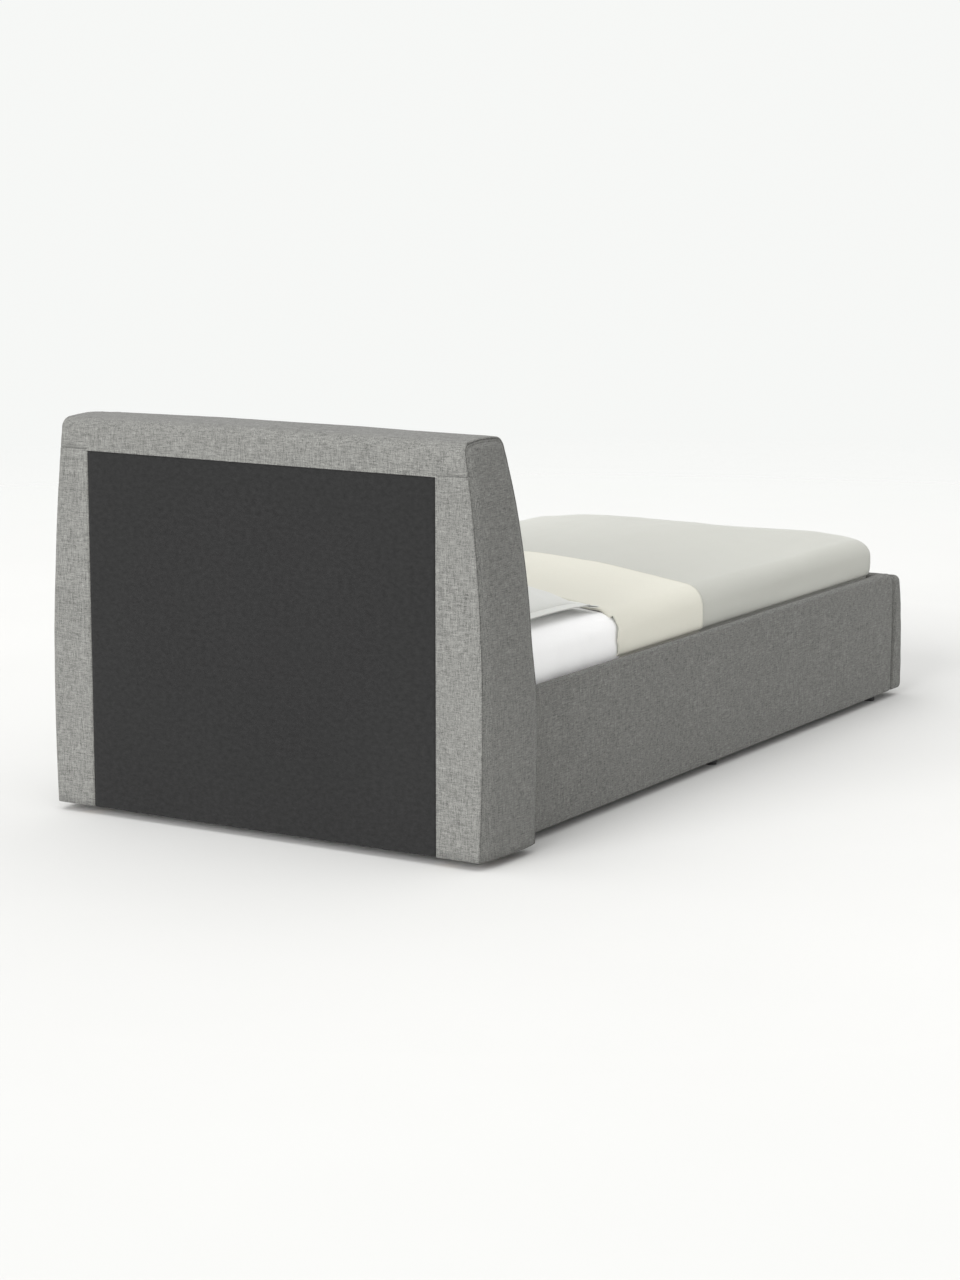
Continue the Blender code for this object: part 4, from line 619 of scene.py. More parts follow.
def make_mattress(settings):
    """A foam slab in a fitted sheet: crowned top, rolled edges, sides fuller above the rails, and fine pulls.

    Under the duvet its surface lies further in, so that it can't show through."""
    roll, low, top = MATTRESS_ROLL, BED_LOW[2], MATTRESS_TOP
    corner = MATTRESS_CORNER - roll
    plan = BED_HIGH[0] - roll, BED_LOW[1] + roll, BED_HIGH[1] - roll
    across, along = np.linspace(-1, 1, 81), np.linspace(-1, 1, 161)
    grid_x, grid_y = slab_top(*plan, corner, across, along)
    patch = grid_of(grid_x, grid_y, top + MATTRESS_CROWN * crown(grid_x, grid_y, *plan, MATTRESS_REACH))
    turn = np.radians(np.linspace(0, 90, 9))[:, None]
    over = np.concatenate([roll * np.sin(turn), top - roll * (1 - np.cos(turn))], axis=1)
    share = np.linspace(0, 1, 14)[1:, None]
    side_z = top - roll - share * (top - low - 2 * roll)
    side = np.concatenate([roll + 0.0012 * np.sin(np.pi * share), side_z], axis=1)
    levels = np.concatenate([over, side])
    free = ramp(levels[:, 1], RAIL_TOP_Z - 0.034, RAIL_TOP_Z + 0.008)
    levels[:, 0] += MATTRESS_FULLER * np.sin(np.pi / 2 * free) * np.minimum(1, levels[:, 0] / roll)
    below = np.concatenate([roll * np.cos(turn), low + roll - roll * np.sin(turn)], axis=1)[1:]
    fall = skirt(rim_of(patch), corner, corner, np.concatenate([levels, below]))
    points, quads = patchwork([patch, fall], closed=(1,))
    quads = outward(points, quads, (0, (BED_LOW[1] + BED_HIGH[1]) / 2, (low + top) / 2))
    z = points[:, 2]
    pulls = 0.0011 * ramp(z, top + 0.004, top - 0.046) * ramp(z, low, low + 0.05)
    height = pulls * ripple(points * (1, 1.3, 0.5), 0.10, 41) + 0.0006 * ripple(points, 0.30, 42)
    covered = ramp(points[:, 1], FOLD_Y - 0.03, FOLD_Y - 0.08) * ramp(z, HEM_Z - 0.008, HEM_Z + 0.012)
    height = height * (z > low + 0.002) * (1 - covered) - MATTRESS_UNDER_DUVET * covered
    points = sag(swell(points, quads, height))
    base_x, base_y = slab_top(*plan, corner, across[::4], along[::4])
    base_points, base_quads = patchwork([grid_of(base_x, base_y, low)])
    quads = np.concatenate([quads, outward(base_points, base_quads, (0, 0, 1)) + len(points)])
    points = np.concatenate([points, base_points])
    cotton = cotton_material("fitted_sheet", settings.fitted, 0.35, 0.10)
    mattress = piece("fitted_mattress", points, quads, cotton, "platform")
    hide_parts("mattress")


def duvet_levels(grow):
    """The top edge's inset, and levels down the duvet's outside: round shoulder, bulging side, tucked hem.

    The shoulder's arc starts with the slope at which the crown ends."""
    top = DUVET_SHOULDER + grow
    start = math.atan(DUVET_CROWN * math.pi / 2 / DUVET_REACH)
    edge = top * (1 - math.sin(start)) - DUVET_SIDE - grow - DUVET_BULGE
    shoulder_z = DUVET_TOP - DUVET_SHOULDER
    free_z = RAIL_TOP_Z - 0.0045
    turns = np.linspace(start, math.pi / 2, 12)
    levels = [(top * (math.sin(t) - math.sin(start)), shoulder_z + top * math.cos(t)) for t in turns]
    for share in (0.9, 0.8, 0.7, 0.6, 0.5, 0.4, 0.3, 0.2, 0.14, 0.09, 0.05, 0.02, 0.0):
        out = DUVET_SIDE + grow + DUVET_BULGE * (1 - (1 - share) ** 14) + edge
        levels.append((out, free_z + (shoulder_z - free_z) * share))
    levels.append((DUVET_SIDE + grow + edge, HEM_Z))
    return edge, levels


def duvet_surface(grow, head_y, rows, foot_y=None):
    """Grids of the duvet's outside grown by a thickness: a crowned top patch and the sides.

    It hangs down round the foot end too, or is cut straight at a foot line."""
    edge, levels = duvet_levels(grow)
    half_x, low_y = BED_HIGH[0] - edge, BED_LOW[1] + edge
    corner, far = DUVET_CORNER - edge, 9.0
    across = np.linspace(-1, 1, 97)
    if foot_y is None:
        along = np.linspace(-1, 1, rows)
        grid_x, grid_y = slab_top(half_x, low_y, head_y, corner, across, along, head_square=True)
    else:
        grid_x, grid_y = np.meshgrid(across * half_x, np.linspace(foot_y, head_y, rows))
    rise = crown(grid_x, grid_y, half_x, low_y, far, DUVET_REACH)
    patch = grid_of(grid_x, grid_y, levels[0][1] + DUVET_CROWN * rise)
    if foot_y is None:
        return [patch, skirt(rim_of(patch, open_head=True), corner, 0, levels)]
    out, z = np.array(levels).T[:, :, None]
    rims = ((patch[:, 0], -1), (patch[:, -1], 1))
    return [patch] + [grid_of(rim[:, 0] + side * out, rim[:, 1], z) for rim, side in rims]


def make_duvet(settings):
    """The outside crowned over the mattress, with soft waves.

    Its wall shows as the duvet's thickness at the hem."""
    points, quads = patchwork(duvet_surface(0, FOLD_Y, 131))
    quads = outward(points, quads, (0, -0.4, 0.30))
    _, y, z = points.T
    free = ramp(z, RAIL_TOP_Z + 0.002, RAIL_TOP_Z + 0.032) * ramp(y, FOLD_Y, FOLD_Y - 0.05)
    bare = ramp(y, BAND_END_Y + 0.02, BAND_END_Y - 0.03)
    waves = settings.unevenness * ripple(points * (1, 0.8, 1), 0.55, 51, 2)
    dents = 0.0007 * ripple(points, 0.12, 52, 2) - 0.0008
    points = draw_in(sag(swell(points, quads, (waves + dents) * free * bare)))
    cotton = cotton_material("duvet_cotton", settings.duvet, 0.55, 0.16)
    duvet = piece("duvet_cover", points, quads, cotton, "platform", DUVET_WALL)
    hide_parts("duvet")


def make_band(settings):
    """The turned-back sheet: the duvet's outside grown by its own thickness, and a fold to the mattress.

    The fold bellies out by half a sine wave and is as deep as the room above the mattress."""
    grids = duvet_surface(BAND_LIFT, FOLD_Y + 0.0040, 48, BAND_END_Y)
    section = np.concatenate([grids[1][::-1, -1], grids[0][-1], grids[2][:, -1]])
    apart = np.linalg.norm(np.diff(section, axis=0), axis=1) > 1e-6
    section = section[np.concatenate([[True], apart])]
    x, z = np.abs(section[:, 0]), section[:, 2]
    aside = np.clip(x - BED_HIGH[0] + MATTRESS_ROLL, 0, MATTRESS_ROLL)
    rolled = MATTRESS_ROLL - np.sqrt(MATTRESS_ROLL ** 2 - aside ** 2)
    lowest_z, deepest = 0.4560, 0.060
    under_z = lowest_z + MATTRESS_CROWN * ramp(x, 0.50, 0.38) - rolled
    room = np.clip(z - under_z, 0, deepest) * ramp(x, 0.503, 0.491)
    share = np.linspace(0, 1, 8)[:, None]
    belly = 0.0050 * np.sin(np.pi * share) * (room > 0.004)
    fold = grid_of(section[:, 0], section[:, 1] + belly, z - room * share)
    points, quads = patchwork([*grids, fold])
    quads = outward(points, quads, (0, 0.2, 0.30))
    free = ramp(points[:, 2], RAIL_TOP_Z + 0.002, RAIL_TOP_Z + 0.032)
    waves = 0.0009 * ripple(points * (1, 0.7, 1), 0.30, 61, 2)
    dents = 0.0005 * ripple(points * (0.6, 1, 1), 0.07, 62)
    points = draw_in(swell(points, quads, (waves + dents) * free))
    z = points[:, 2]
    folded = ramp(points[:, 1], FOLD_Y - 0.03, FOLD_Y + 0.004) * ramp(z, 0.47, 0.42)
    points[:, 1] += 0.0035 * folded * (np.sin(115 * z) + 0.4 * np.sin(310 * z))
    cotton = cotton_material("band_cotton", settings.band, 0.45, 0.14)
    band = piece("turned_sheet", points, quads, cotton, "platform", BAND_WALL)
    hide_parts("top_sheet")


def make_pillow(settings):
    """A filled core inside a flat flange: its height falls off with the distances from both middle lines.

    The sides draw in between the tips, and the flange lies higher midway along each side than at the tips.
    Its edge is two lips that part near one tip."""
    u, v = np.meshgrid(np.linspace(-1, 1, 97), np.linspace(-1, 1, 65))
    far, near = np.maximum(np.abs(u), np.abs(v)), np.minimum(np.abs(u), np.abs(v))
    width, depth = PILLOW_HIGH[0] - PILLOW_LOW[0] + 0.036, PILLOW_HIGH[1] - PILLOW_LOW[1]
    height, base_z = PILLOW_HIGH[2] - PILLOW_LOW[2], PILLOW_LOW[2]
    middle_y = (PILLOW_LOW[1] + PILLOW_HIGH[1]) / 2 - 0.006
    flange, lift, low_tip, draw, thick, least = 0.034, 0.0165, 0.004, 0.016, 0.0030, 0.0004
    place, core = [], []
    for value, half, steps in ((u, width / 2, 10), (v, depth / 2, 7)):
        step = np.abs(value) * steps
        core.append(np.sin(np.pi / 2 * np.minimum(1, step / (steps - 1))))
        place.append(np.sign(value) * ((half - flange) * core[-1] + flange * np.maximum(0, step - steps + 1)))
    x = place[0] - np.sign(u) * draw * (1 - v * v) * core[0] ** 4
    y = place[1] - np.sign(v) * draw * (1 - u * u) * core[1] ** 4
    fill = np.clip((1 - core[0] ** 3) * (1 - core[1] ** 3), 0, 1) ** 0.6
    rim_z = lift - (lift - low_tip) * far ** 4 * near ** 2
    parted = 0.0046 * hump(v, -0.80, 0.13) * ramp(u, -0.93, -1)
    flat = grid_of(x, y, 0)
    soft = np.clip(fill * 3, 0, 1)
    creases = 0.0016 * ripple(flat * (1, 1.5, 1), 0.16, 71) * soft
    creases += 0.0008 * ripple(flat, 0.045, 72) * (1 - soft * 0.6)
    upper = rim_z + thick + (height - lift - thick - 0.002) * fill + creases * (0.2 + soft) + parted
    hollow = rim_z - 2 * lift * fill
    lower = np.maximum(least, np.maximum(0.0006, hollow) + 0.3 * creases * (hollow > 0))
    top, under = (grid_of(x, y + middle_y, base_z + z) for z in (upper, lower))
    ring, below = rim_of(top), rim_of(under)
    away = (ring - (0, middle_y, 0)) * (1, 1, 0)
    away /= np.linalg.norm(away, axis=1, keepdims=True)
    lip = (0, 0, 0.0011) - 0.0005 * away
    edge = np.stack([ring, ring - lip, (ring + below) / 2 - 0.012 * away, below + lip + 0.0010 * away, below])
    points, quads = patchwork([top, under, edge], closed=(2,))
    quads = outward(points, quads, (0, middle_y, base_z + 0.022))
    cotton = cotton_material("pillow_cotton", settings.pillow, 0.5, 0.16)
    pillow = piece("filled_pillow", points, quads, cotton, "platform", smooth_from=70)
    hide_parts("pillow")


def make_strap():
    """Flat webbing along the foot bar: two sewn-down ends and a raised loop, its path a raised cosine."""
    low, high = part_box("pull_strap")
    middle_z, half_z = (low[2] + high[2]) / 2, (high[2] - low[2]) / 2
    x = np.linspace(low[0], high[0], 90)
    rise = ramp(np.clip((high[0] - np.abs(x)) / high[0], 0, 1), 0.19, 0.40)
    loop = (high[1] - low[1] - 0.002) * (0.5 - 0.5 * np.cos(np.pi * rise))
    z = np.linspace(-half_z, half_z, 11)[:, None]
    curl = 0.0008 * np.sin(np.pi * rise) * (z / half_z) ** 2
    points, quads = patchwork([grid_of(x, high[1] - SEAT - loop + curl, middle_z + z)])
    quads = outward(points, quads, (0, high[1] + 0.5, middle_z))
    webbing = webbing_material()
    strap = piece("pull_strap_webbing", points, quads, webbing, "platform", WEBBING_WALL)
    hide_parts("pull_strap")


# Materials


class Nodes:
    """Adds nodes to a tree and links them."""

    def __init__(self, tree):
        self.tree = tree

    def put(self, value, socket):
        """Links an output to a socket, or gives the socket a value."""
        if isinstance(value, bpy.types.NodeSocket):
            self.tree.links.new(value, socket)
        else:
            socket.default_value = value

    def add(self, kind, **values):
        """A node; values are its properties, and inputs holds an output or a value for each socket."""
        node = self.tree.nodes.new(kind)
        inputs = values.pop("inputs", {})
        for key, value in values.items():
            setattr(node, key, value)
        for key, value in inputs.items():
            self.put(value, node.inputs[key])
        return node

    def math(self, operation, first, second=0.0, third=0.0):
        """The output of a Math node."""
        inputs = {0: first, 1: second, 2: third}
        return self.add("ShaderNodeMath", operation=operation, inputs=inputs).outputs[0]

    def line(self, value, factor, offset):
        """A value times a factor, plus an offset."""
        return self.math("MULTIPLY_ADD", value, factor, offset)

    def total(self, first, *others):
        """The sum of values."""
        for value in others:
            first = self.math("ADD", first, value)
        return first

    def noise(self, vector, scale, detail=3.0, rough=0.55):
        """A noise texture's factor."""
        inputs = {"Vector": vector, "Scale": scale, "Detail": detail, "Roughness": rough}
        return self.add("ShaderNodeTexNoise", inputs=inputs).outputs[0]

    def bands(self, vector, axis, **inputs):
        """Soft stripes across an axis."""
        inputs["Vector"] = vector
        node = self.add("ShaderNodeTexWave", wave_type="BANDS", bands_direction=axis, inputs=inputs)
        return node.outputs[1]

    def stretched(self, vector, scale, turn=(0, 0, 0)):
        """The vector scaled along each axis, then turned."""
        inputs = {"Vector": vector, "Scale": scale, "Rotation": turn}
        return self.add("ShaderNodeMapping", inputs=inputs).outputs[0]

    def vector(self, operation, output, **inputs):
        """An output of a Vector Math node; first and second are its vectors."""
        sockets = {"first": 0, "second": 1, "scale": "Scale"}
        inputs = {sockets[key]: value for key, value in inputs.items()}
        return self.add("ShaderNodeVectorMath", operation=operation, inputs=inputs).outputs[output]

    def shade(self, color, tone):
        """A colour made darker or lighter by a tone about 1."""
        return self.vector("SCALE", 0, first=tuple(color), scale=tone)

    def span(self, value, low, high, to_low=0.0, to_high=1.0):
        """A value mapped from one range to another, and clamped."""
        inputs = {0: value, 1: low, 2: high, 3: to_low, 4: to_high}
        return self.add("ShaderNodeMapRange", inputs=inputs).outputs[0]

    def mix(self, share, first, second):
        """A mix of two colours, each an output or three numbers."""
        inputs = {0: share}
        for place, color in ((6, first), (7, second)):
            inputs[place] = color if isinstance(color, bpy.types.NodeSocket) else (*color, 1)
        return self.add("ShaderNodeMix", data_type="RGBA", inputs=inputs).outputs[2]

    def apart(self, vector):
        """The three numbers of a vector."""
        return self.add("ShaderNodeSeparateXYZ", inputs={0: vector}).outputs

    def group(self, name, vector, **inputs):
        """The outputs of one of the shared node groups."""
        inputs["Vector"] = vector
        return self.add("ShaderNodeGroup", node_tree=GROUPS[name], inputs=inputs).outputs


def start_group(name, **inputs):
    """A new node group whose inputs are a vector and named numbers; gives its nodes and these inputs."""
    group = bpy.data.node_groups.new(name, "ShaderNodeTree")
    group.interface.new_socket("Vector", in_out="INPUT", socket_type="NodeSocketVector")
    for label, value in inputs.items():
        socket = group.interface.new_socket(label, in_out="INPUT", socket_type="NodeSocketFloat")
        socket.default_value = value
    n = Nodes(group)
    return n, n.add("NodeGroupInput").outputs


def finish_group(n, **outputs):
    """The group with its named outputs made and linked."""
    for label in outputs:
        n.tree.interface.new_socket(label, in_out="OUTPUT", socket_type="NodeSocketFloat")
    n.add("NodeGroupOutput", inputs=outputs)
    return n.tree


def melange_group():
    """Two-tone yarn woven square: slubs along each axis, threads that cross at the pitch, and clumps."""
    n, given = start_group("Woven melange", Pitch=0.0016, Fleck=0.3)
    flat = n.vector("SCALE", 0, first=given["Vector"], scale=n.math("DIVIDE", 1.0, given["Pitch"]))
    axes = ((0.11, 1.1, 1.1), (1.1, 1.1, 0.11), (1.1, 0.11, 1.1))
    slubs = n.total(*[n.noise(n.stretched(flat, scale), 1.0, 2.0) for scale in axes])
    clump = n.noise(flat, 0.62, 2.0, 0.6)
    cloud = n.noise(flat, 0.02, 2.0)
    wave = {"Scale": 0.32, "Distortion": 1.6, "Detail": 1.0, "Detail Scale": 1.5}
    woven = n.math("MULTIPLY", n.bands(flat, "X", **wave), n.bands(flat, "Z", **wave))
    parts = ((slubs, 3.1, -4.65), (clump, 1.1, -0.55), (cloud, 0.25, -0.125), (woven, 0.24, -0.06))
    tone = n.line(n.total(*[n.line(*part) for part in parts]), given["Fleck"], 1.0)
    height = n.total(n.math("MULTIPLY", woven, 0.5), n.math("MULTIPLY", slubs, 0.3))
    return finish_group(n, Tone=tone, Height=height, Fuzz=clump)


def cotton_group():
    """Fine plain weave with soft irregular shading and small creases."""
    n, given = start_group("Fine cotton", Crease=0.3)
    place = given["Vector"]
    weave_x = n.noise(n.stretched(place, (1400, 260, 700)), 1.0, 1.0)
    weave_y = n.noise(n.stretched(place, (260, 1400, 700)), 1.0, 1.0)
    cloud = n.noise(place, 3.2, 3.0, 0.5)
    crease = n.noise(n.stretched(place, (9, 5, 9), (0, 0, 0.4)), 1.0, 4.0, 0.55)
    weave = n.total(weave_x, weave_y)
    tone = n.total(n.line(weave, 0.07, 0.93), n.line(cloud, 0.05, -0.025))
    height = n.total(n.math("MULTIPLY", weave, 0.10), n.math("MULTIPLY", crease, given["Crease"]))
    return finish_group(n, Tone=tone, Height=height)


def grain_group():
    """Wood grain along x: bent growth lines, pores and slow colour change."""
    n, given = start_group("Wood grain", Figure=1.0)
    place = given["Vector"]
    wander = n.noise(n.stretched(place, (1.2, 14, 14)), 1.0, 2.0)
    bend = {1: n.math("MULTIPLY", wander, 6.0), 2: n.math("MULTIPLY", wander, 4.0)}
    offset = n.add("ShaderNodeCombineXYZ", inputs=bend).outputs[0]
    lines = n.noise(n.vector("ADD", 0, first=n.stretched(place, (0.6, 60, 60)), second=offset), 1.0, 3.0, 0.6)
    pores = n.noise(n.stretched(place, (22, 900, 900)), 1.0, 2.0)
    slow = n.noise(place, 2.3, 2.0)
    figure = n.math("MULTIPLY", n.span(lines, 0.42, 0.72), given["Figure"])
    dark = n.total(figure, n.span(pores, 0.55, 0.75, 0.0, 0.22), n.line(slow, 0.4, -0.2))
    height = n.total(n.math("MULTIPLY", lines, 0.35), n.math("MULTIPLY", pores, 0.35))
    return finish_group(n, Dark=dark, Height=height)


def marks_group():
    """Marks of handling on a hard finish: smudges and fine scratches."""
    n, given = start_group("Handling marks", Amount=0.5)
    place = given["Vector"]
    smudge = n.noise(place, 14.0, 4.0, 0.6)
    scratch = n.noise(n.stretched(place, (30, 420, 300), (0.3, 0.5, 0.2)), 1.0, 2.0)
    peel = n.noise(place, 900.0, 2.0)
    worn = n.total(n.span(smudge, 0.45, 0.75, 0.0, 0.7), n.span(scratch, 0.62, 0.72, 0.0, 0.6))
    height = n.total(n.math("MULTIPLY", peel, 0.4), n.math("MULTIPLY", scratch, 0.2))
    return finish_group(n, Mask=n.math("MULTIPLY", worn, given["Amount"]), Height=height)


GROUPS = {
    "melange": melange_group(), "cotton": cotton_group(), "grain": grain_group(), "marks": marks_group(),
}
PAINTED_SHADE_BLACK = (0.012, 0.012, 0.012)
GRAIN_TURNS = {"X": (0, 0, 0), "Y": (0, 0, math.pi / 2), "Z": (0, math.pi / 2, 0)}


def start_material(name, rough=0.9, metal=0.0, sheen=0.0, specular=0.5, sheen_rough=0.5):
    """A material with its shader's plain values set; gives also its nodes, its shader and coordinates."""
    material = bpy.data.materials.new(name)
    material.use_nodes = True
    n = Nodes(material.node_tree)
    shader = material.node_tree.nodes["Principled BSDF"]
    plain = {
        "Roughness": rough, "Metallic": metal, "Sheen Weight": sheen, "Sheen Roughness": sheen_rough,
        "Specular IOR Level": specular,
    }
    for label, value in plain.items():
        shader.inputs[label].default_value = value
    return material, n, shader, n.add("ShaderNodeTexCoord").outputs["Object"]


def finish(n, shader, color, rough, height, distance, strength):
    """Links a colour and a roughness to the shader, and a Bump node from a height."""
    relief = n.add("ShaderNodeBump", inputs={"Height": height, "Distance": distance, "Strength": strength})
    for label, value in (("Base Color", color), ("Roughness", rough), ("Normal", relief.outputs[0])):
        n.put(value, shader.inputs[label])


def fabric_material(settings):
    """The covers' melange fabric, one material for all of them."""
    name = "melange_fabric"
    known = bpy.data.materials.get(name)
    if known:
        return known
    material, n, shader, place = start_material(name, 0.95, sheen=0.10, specular=0.18, sheen_rough=0.6)
    weave = n.group("melange", place, Pitch=0.0021, Fleck=settings.fleck)
    rough = n.span(weave["Fuzz"], 0.3, 0.7, 0.88, 1.0)
    finish(n, shader, n.shade(settings.fabric, weave["Tone"]), rough, weave["Height"], 0.0007, 0.7)
    return material


def lining_material(settings):
    """Pressed fibre cloth: dark, finely mottled, with a dimpled face."""
    material, n, shader, place = start_material("pressed_cloth", 0.92, sheen=0.05, specular=0.25)
    mottle = n.noise(n.stretched(place, (70, 70, 110)), 1.0, 3.0, 0.6)
    fibre = n.noise(n.stretched(place, (160, 160, 700)), 1.0, 2.0)
    cloud = n.line(n.noise(place, 2.4, 2.0), 0.26, -0.13)
    tone = n.total(n.span(mottle, 0.3, 0.7, 0.74, 1.27), n.line(fibre, 0.22, -0.11), cloud)
    dimples = n.add("ShaderNodeTexVoronoi", inputs={"Vector": place, "Scale": 420.0}).outputs["Distance"]
    rough = n.span(fibre, 0.3, 0.7, 0.84, 0.98)
    finish(n, shader, n.shade(settings.lining, tone), rough, n.total(dimples, fibre), 0.0004, 0.6)
    return material


def cotton_material(name, color, crease, sheen):
    """Bed linen in one colour."""
    material, n, shader, place = start_material(name, 0.88, sheen=sheen, specular=0.22)
    cotton = n.group("cotton", place, Crease=crease)
    rough = n.span(cotton["Tone"], 0.9, 1.1, 0.82, 0.95)
    finish(n, shader, n.shade(color, cotton["Tone"]), rough, cotton["Height"], 0.0016, 0.5)
    return material


def webbing_material():
    """Black ribbed webbing."""
    material, n, shader, place = start_material("ribbed_webbing", 0.8, sheen=0.12, specular=0.3)
    rib = n.bands(place, "X", Scale=130.0, Distortion=0.6)
    cord = n.bands(place, "Z", Scale=95.0, Distortion=0.4)
    woven = n.math("MULTIPLY", rib, cord)
    color = n.shade((0.034, 0.034, 0.036), n.span(woven, 0.0, 1.0, 0.7, 1.5))
    finish(n, shader, color, n.span(woven, 0.0, 1.0, 0.9, 0.72), woven, 0.0008, 0.8)
    return material


def wood_material(name, color, dark, axis, figure=0.8, rough=0.6):
    """Wood whose grain runs along one axis."""
    material, n, shader, place = start_material(name, rough, specular=0.35)
    grain = n.group("grain", n.stretched(place, (1, 1, 1), GRAIN_TURNS[axis]), Figure=figure)
    dull = n.span(grain["Dark"], 0.0, 1.0, rough - 0.06, rough + 0.12)
    finish(n, shader, n.mix(grain["Dark"], color, dark), dull, grain["Height"], 0.0005, 0.6)
    return material


def slat_material(settings):
    """Pressed birch slats with black end caps beyond a distance from the middle."""
    material, n, shader, place = start_material("birch_slats", 0.45, specular=0.4)
    grain = n.group("grain", place, Figure=0.5)
    wood = n.mix(grain["Dark"], settings.birch, (0.47, 0.32, 0.17))
    cap_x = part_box("slat_01")[1][0] - 0.0401
    cap = n.math("GREATER_THAN", n.math("ABSOLUTE", n.apart(place)[0]), cap_x)
    color = n.mix(cap, wood, (0.028, 0.028, 0.030))
    finish(n, shader, color, n.line(cap, 0.12, 0.42), grain["Height"], 0.0003, 0.5)
    return material


def plywood_material(settings):
    """Plywood: grain on the faces, plies on the edges, and painted shade in black underneath and on the outer
    ends.
    """
    material, n, shader, place = start_material("plywood", 0.62, specular=0.3)
    grain = n.group("grain", n.stretched(place, (1, 1, 1), GRAIN_TURNS["Y"]), Figure=0.7)
    face = n.mix(grain["Dark"], settings.plywood, (0.36, 0.23, 0.12))
    x = n.apart(place)[0]
    ply = n.span(n.math("PINGPONG", x, 0.0018), 0.0006, 0.0012)
    edge = n.mix(ply, (0.30, 0.18, 0.09), (0.62, 0.46, 0.28))
    # Faces that look down and the boards' outer ends past the given x are painted black as shade: the dark gap
    # under the bed and the shadowed groove beside the footboard.
    looks = n.apart(n.add("ShaderNodeNewGeometry").outputs["True Normal"])
    sideways = n.math("GREATER_THAN", n.math("ABSOLUTE", looks[0]), 0.7)
    below = n.math("LESS_THAN", looks[2], -0.7)
    shaded_end_x = 0.5290
    ends = n.math("GREATER_THAN", n.math("ABSOLUTE", x), shaded_end_x)
    color = n.mix(n.math("MAXIMUM", below, ends), n.mix(sideways, edge, face), PAINTED_SHADE_BLACK)
    finish(n, shader, color, n.span(grain["Dark"], 0.0, 1.0, 0.56, 0.74), grain["Height"], 0.0005, 0.6)
    return material


def board_material():
    """Floor panels: melamine face in pale grey with a faint pressed texture."""
    material, n, shader, place = start_material("melamine_board", 0.5, specular=0.4)
    mask = n.group("marks", place, Amount=0.4)["Mask"]
    fine = n.noise(place, 260.0, 3.0)
    tone = n.total(n.line(mask, -0.10, 1.0), n.line(fine, 0.08, -0.04))
    finish(n, shader, n.shade((0.58, 0.57, 0.54), tone), n.line(mask, 0.2, 0.45), fine, 0.0002, 0.4)
    return material


def hard_material(name, color, rough, metal, amount, worn, specular=0.5):
    """Painted, plated or moulded finish with handling marks."""
    material, n, shader, place = start_material(name, rough, metal, specular=specular)
    marks = n.group("marks", place, Amount=amount)
    dull = n.line(marks["Mask"], 0.25, rough)
    finish(n, shader, n.mix(marks["Mask"], color, worn), dull, marks["Height"], 0.0002, 0.4)
    return material


# Fasteners


def turned_solid(outline, steps, place):
    """A turned solid: an outline of (radius, height) carried round a line along x through a place."""
    turn = np.linspace(0, 2 * np.pi, steps, endpoint=False)
    radius, height = np.array(outline).T[:, :, None]
    return grid_of(height, radius * np.cos(turn), radius * np.sin(turn)) + np.array(place)


def make_fasteners():
    """Pan-head bolts on the corner angles, each a turned outline with a socket."""
    zinc = bpy.data.materials["zinc_plate"]
    steel, sunk = 0.003, 0.0002
    outline = (
        (0.0, 0.0016), (0.0022, 0.0016), (0.0022, 0.0034), (0.0044, 0.0032), (0.0062, 0.0022),
        (0.0068, 0.0004), (0.0068, 0.0),
    )
    for label, side in (("left", -1), ("right", 1)):
        spots = []
        for end, share_y in (("head", 0.4), ("foot", 0.6)):
            low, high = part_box(f"corner_bracket_{end}_{label}")
            x = side * (max(abs(low[0]), abs(high[0])) - steel - sunk)
            y = low[1] + (high[1] - low[1]) * share_y
            for share_z in (0.25, 0.75):
                spots.append((x, y, low[2] + (high[2] - low[2]) * share_z))
        grids = [turned_solid([(r, -side * h) for r, h in outline], 20, spot) for spot in spots]
        points, quads = patchwork(grids, closed=range(len(grids)))
        quads = outward(points, quads, spots)
        piece("bracket_bolts_" + label, points, quads, zinc, "frame", smooth_from=35)


# Stage


def make_floor(settings):
    """A wide disc that fades into the background with the distance from its middle."""
    material, n, shader, place = start_material("pale_floor", 0.85, specular=0.15)
    cloud = n.span(n.noise(place, 1.3, 2.0), 0.3, 0.7, 0.992, 1.008)
    n.put(n.shade(settings.floor, cloud), shader.inputs["Base Color"])
    far = n.span(n.vector("LENGTH", "Value", first=place), *FLOOR_FADE)
    clear = n.add("ShaderNodeBsdfTransparent").outputs[0]
    blend = n.add("ShaderNodeMixShader", inputs={0: far, 1: shader.outputs[0], 2: clear})
    n.put(blend.outputs[0], material.node_tree.nodes["Material Output"].inputs["Surface"])
    radius = np.linspace(0, 1, 25)[:, None] ** 2 * FLOOR_RADIUS
    turn = np.linspace(0, 2 * np.pi, 64, endpoint=False)
    points, quads = patchwork([grid_of(radius * np.cos(turn), radius * np.sin(turn), 0)], closed=(0,))
    floor = mesh_object("floor", points, quads, material)


def make_world():
    """Plain light from all round; the camera, gloss and glass see the pale background."""
    world = bpy.data.worlds.new("studio")
    world.use_nodes = True
    bpy.context.scene.world = world
    n = Nodes(world.node_tree)
    rays = n.add("ShaderNodeLightPath").outputs
    seen = n.math("MAXIMUM", rays["Is Camera Ray"], rays["Is Glossy Ray"])
    seen = n.math("MAXIMUM", seen, rays["Is Transmission Ray"])
    ahead = n.add("ShaderNodeTexCoord").outputs["Generated"]
    facing_up = n.vector("DOT_PRODUCT", "Value", first=ahead, second=(0.0, 0.45, 0.89))
    light = world.node_tree.nodes["Background"]
    light.inputs["Color"].default_value = (1.0, 0.998, 0.99, 1)
    n.put(n.span(facing_up, -0.5, 1.0, 0.70, 0.97), light.inputs["Strength"])
    shown = n.add("ShaderNodeBackground", inputs={"Color": BACKGROUND, "Strength": 1.0})
    mixed = n.add("ShaderNodeMixShader", inputs={0: seen, 1: light.outputs[0], 2: shown.outputs[0]})
    n.put(mixed.outputs[0], world.node_tree.nodes["World Output"].inputs["Surface"])


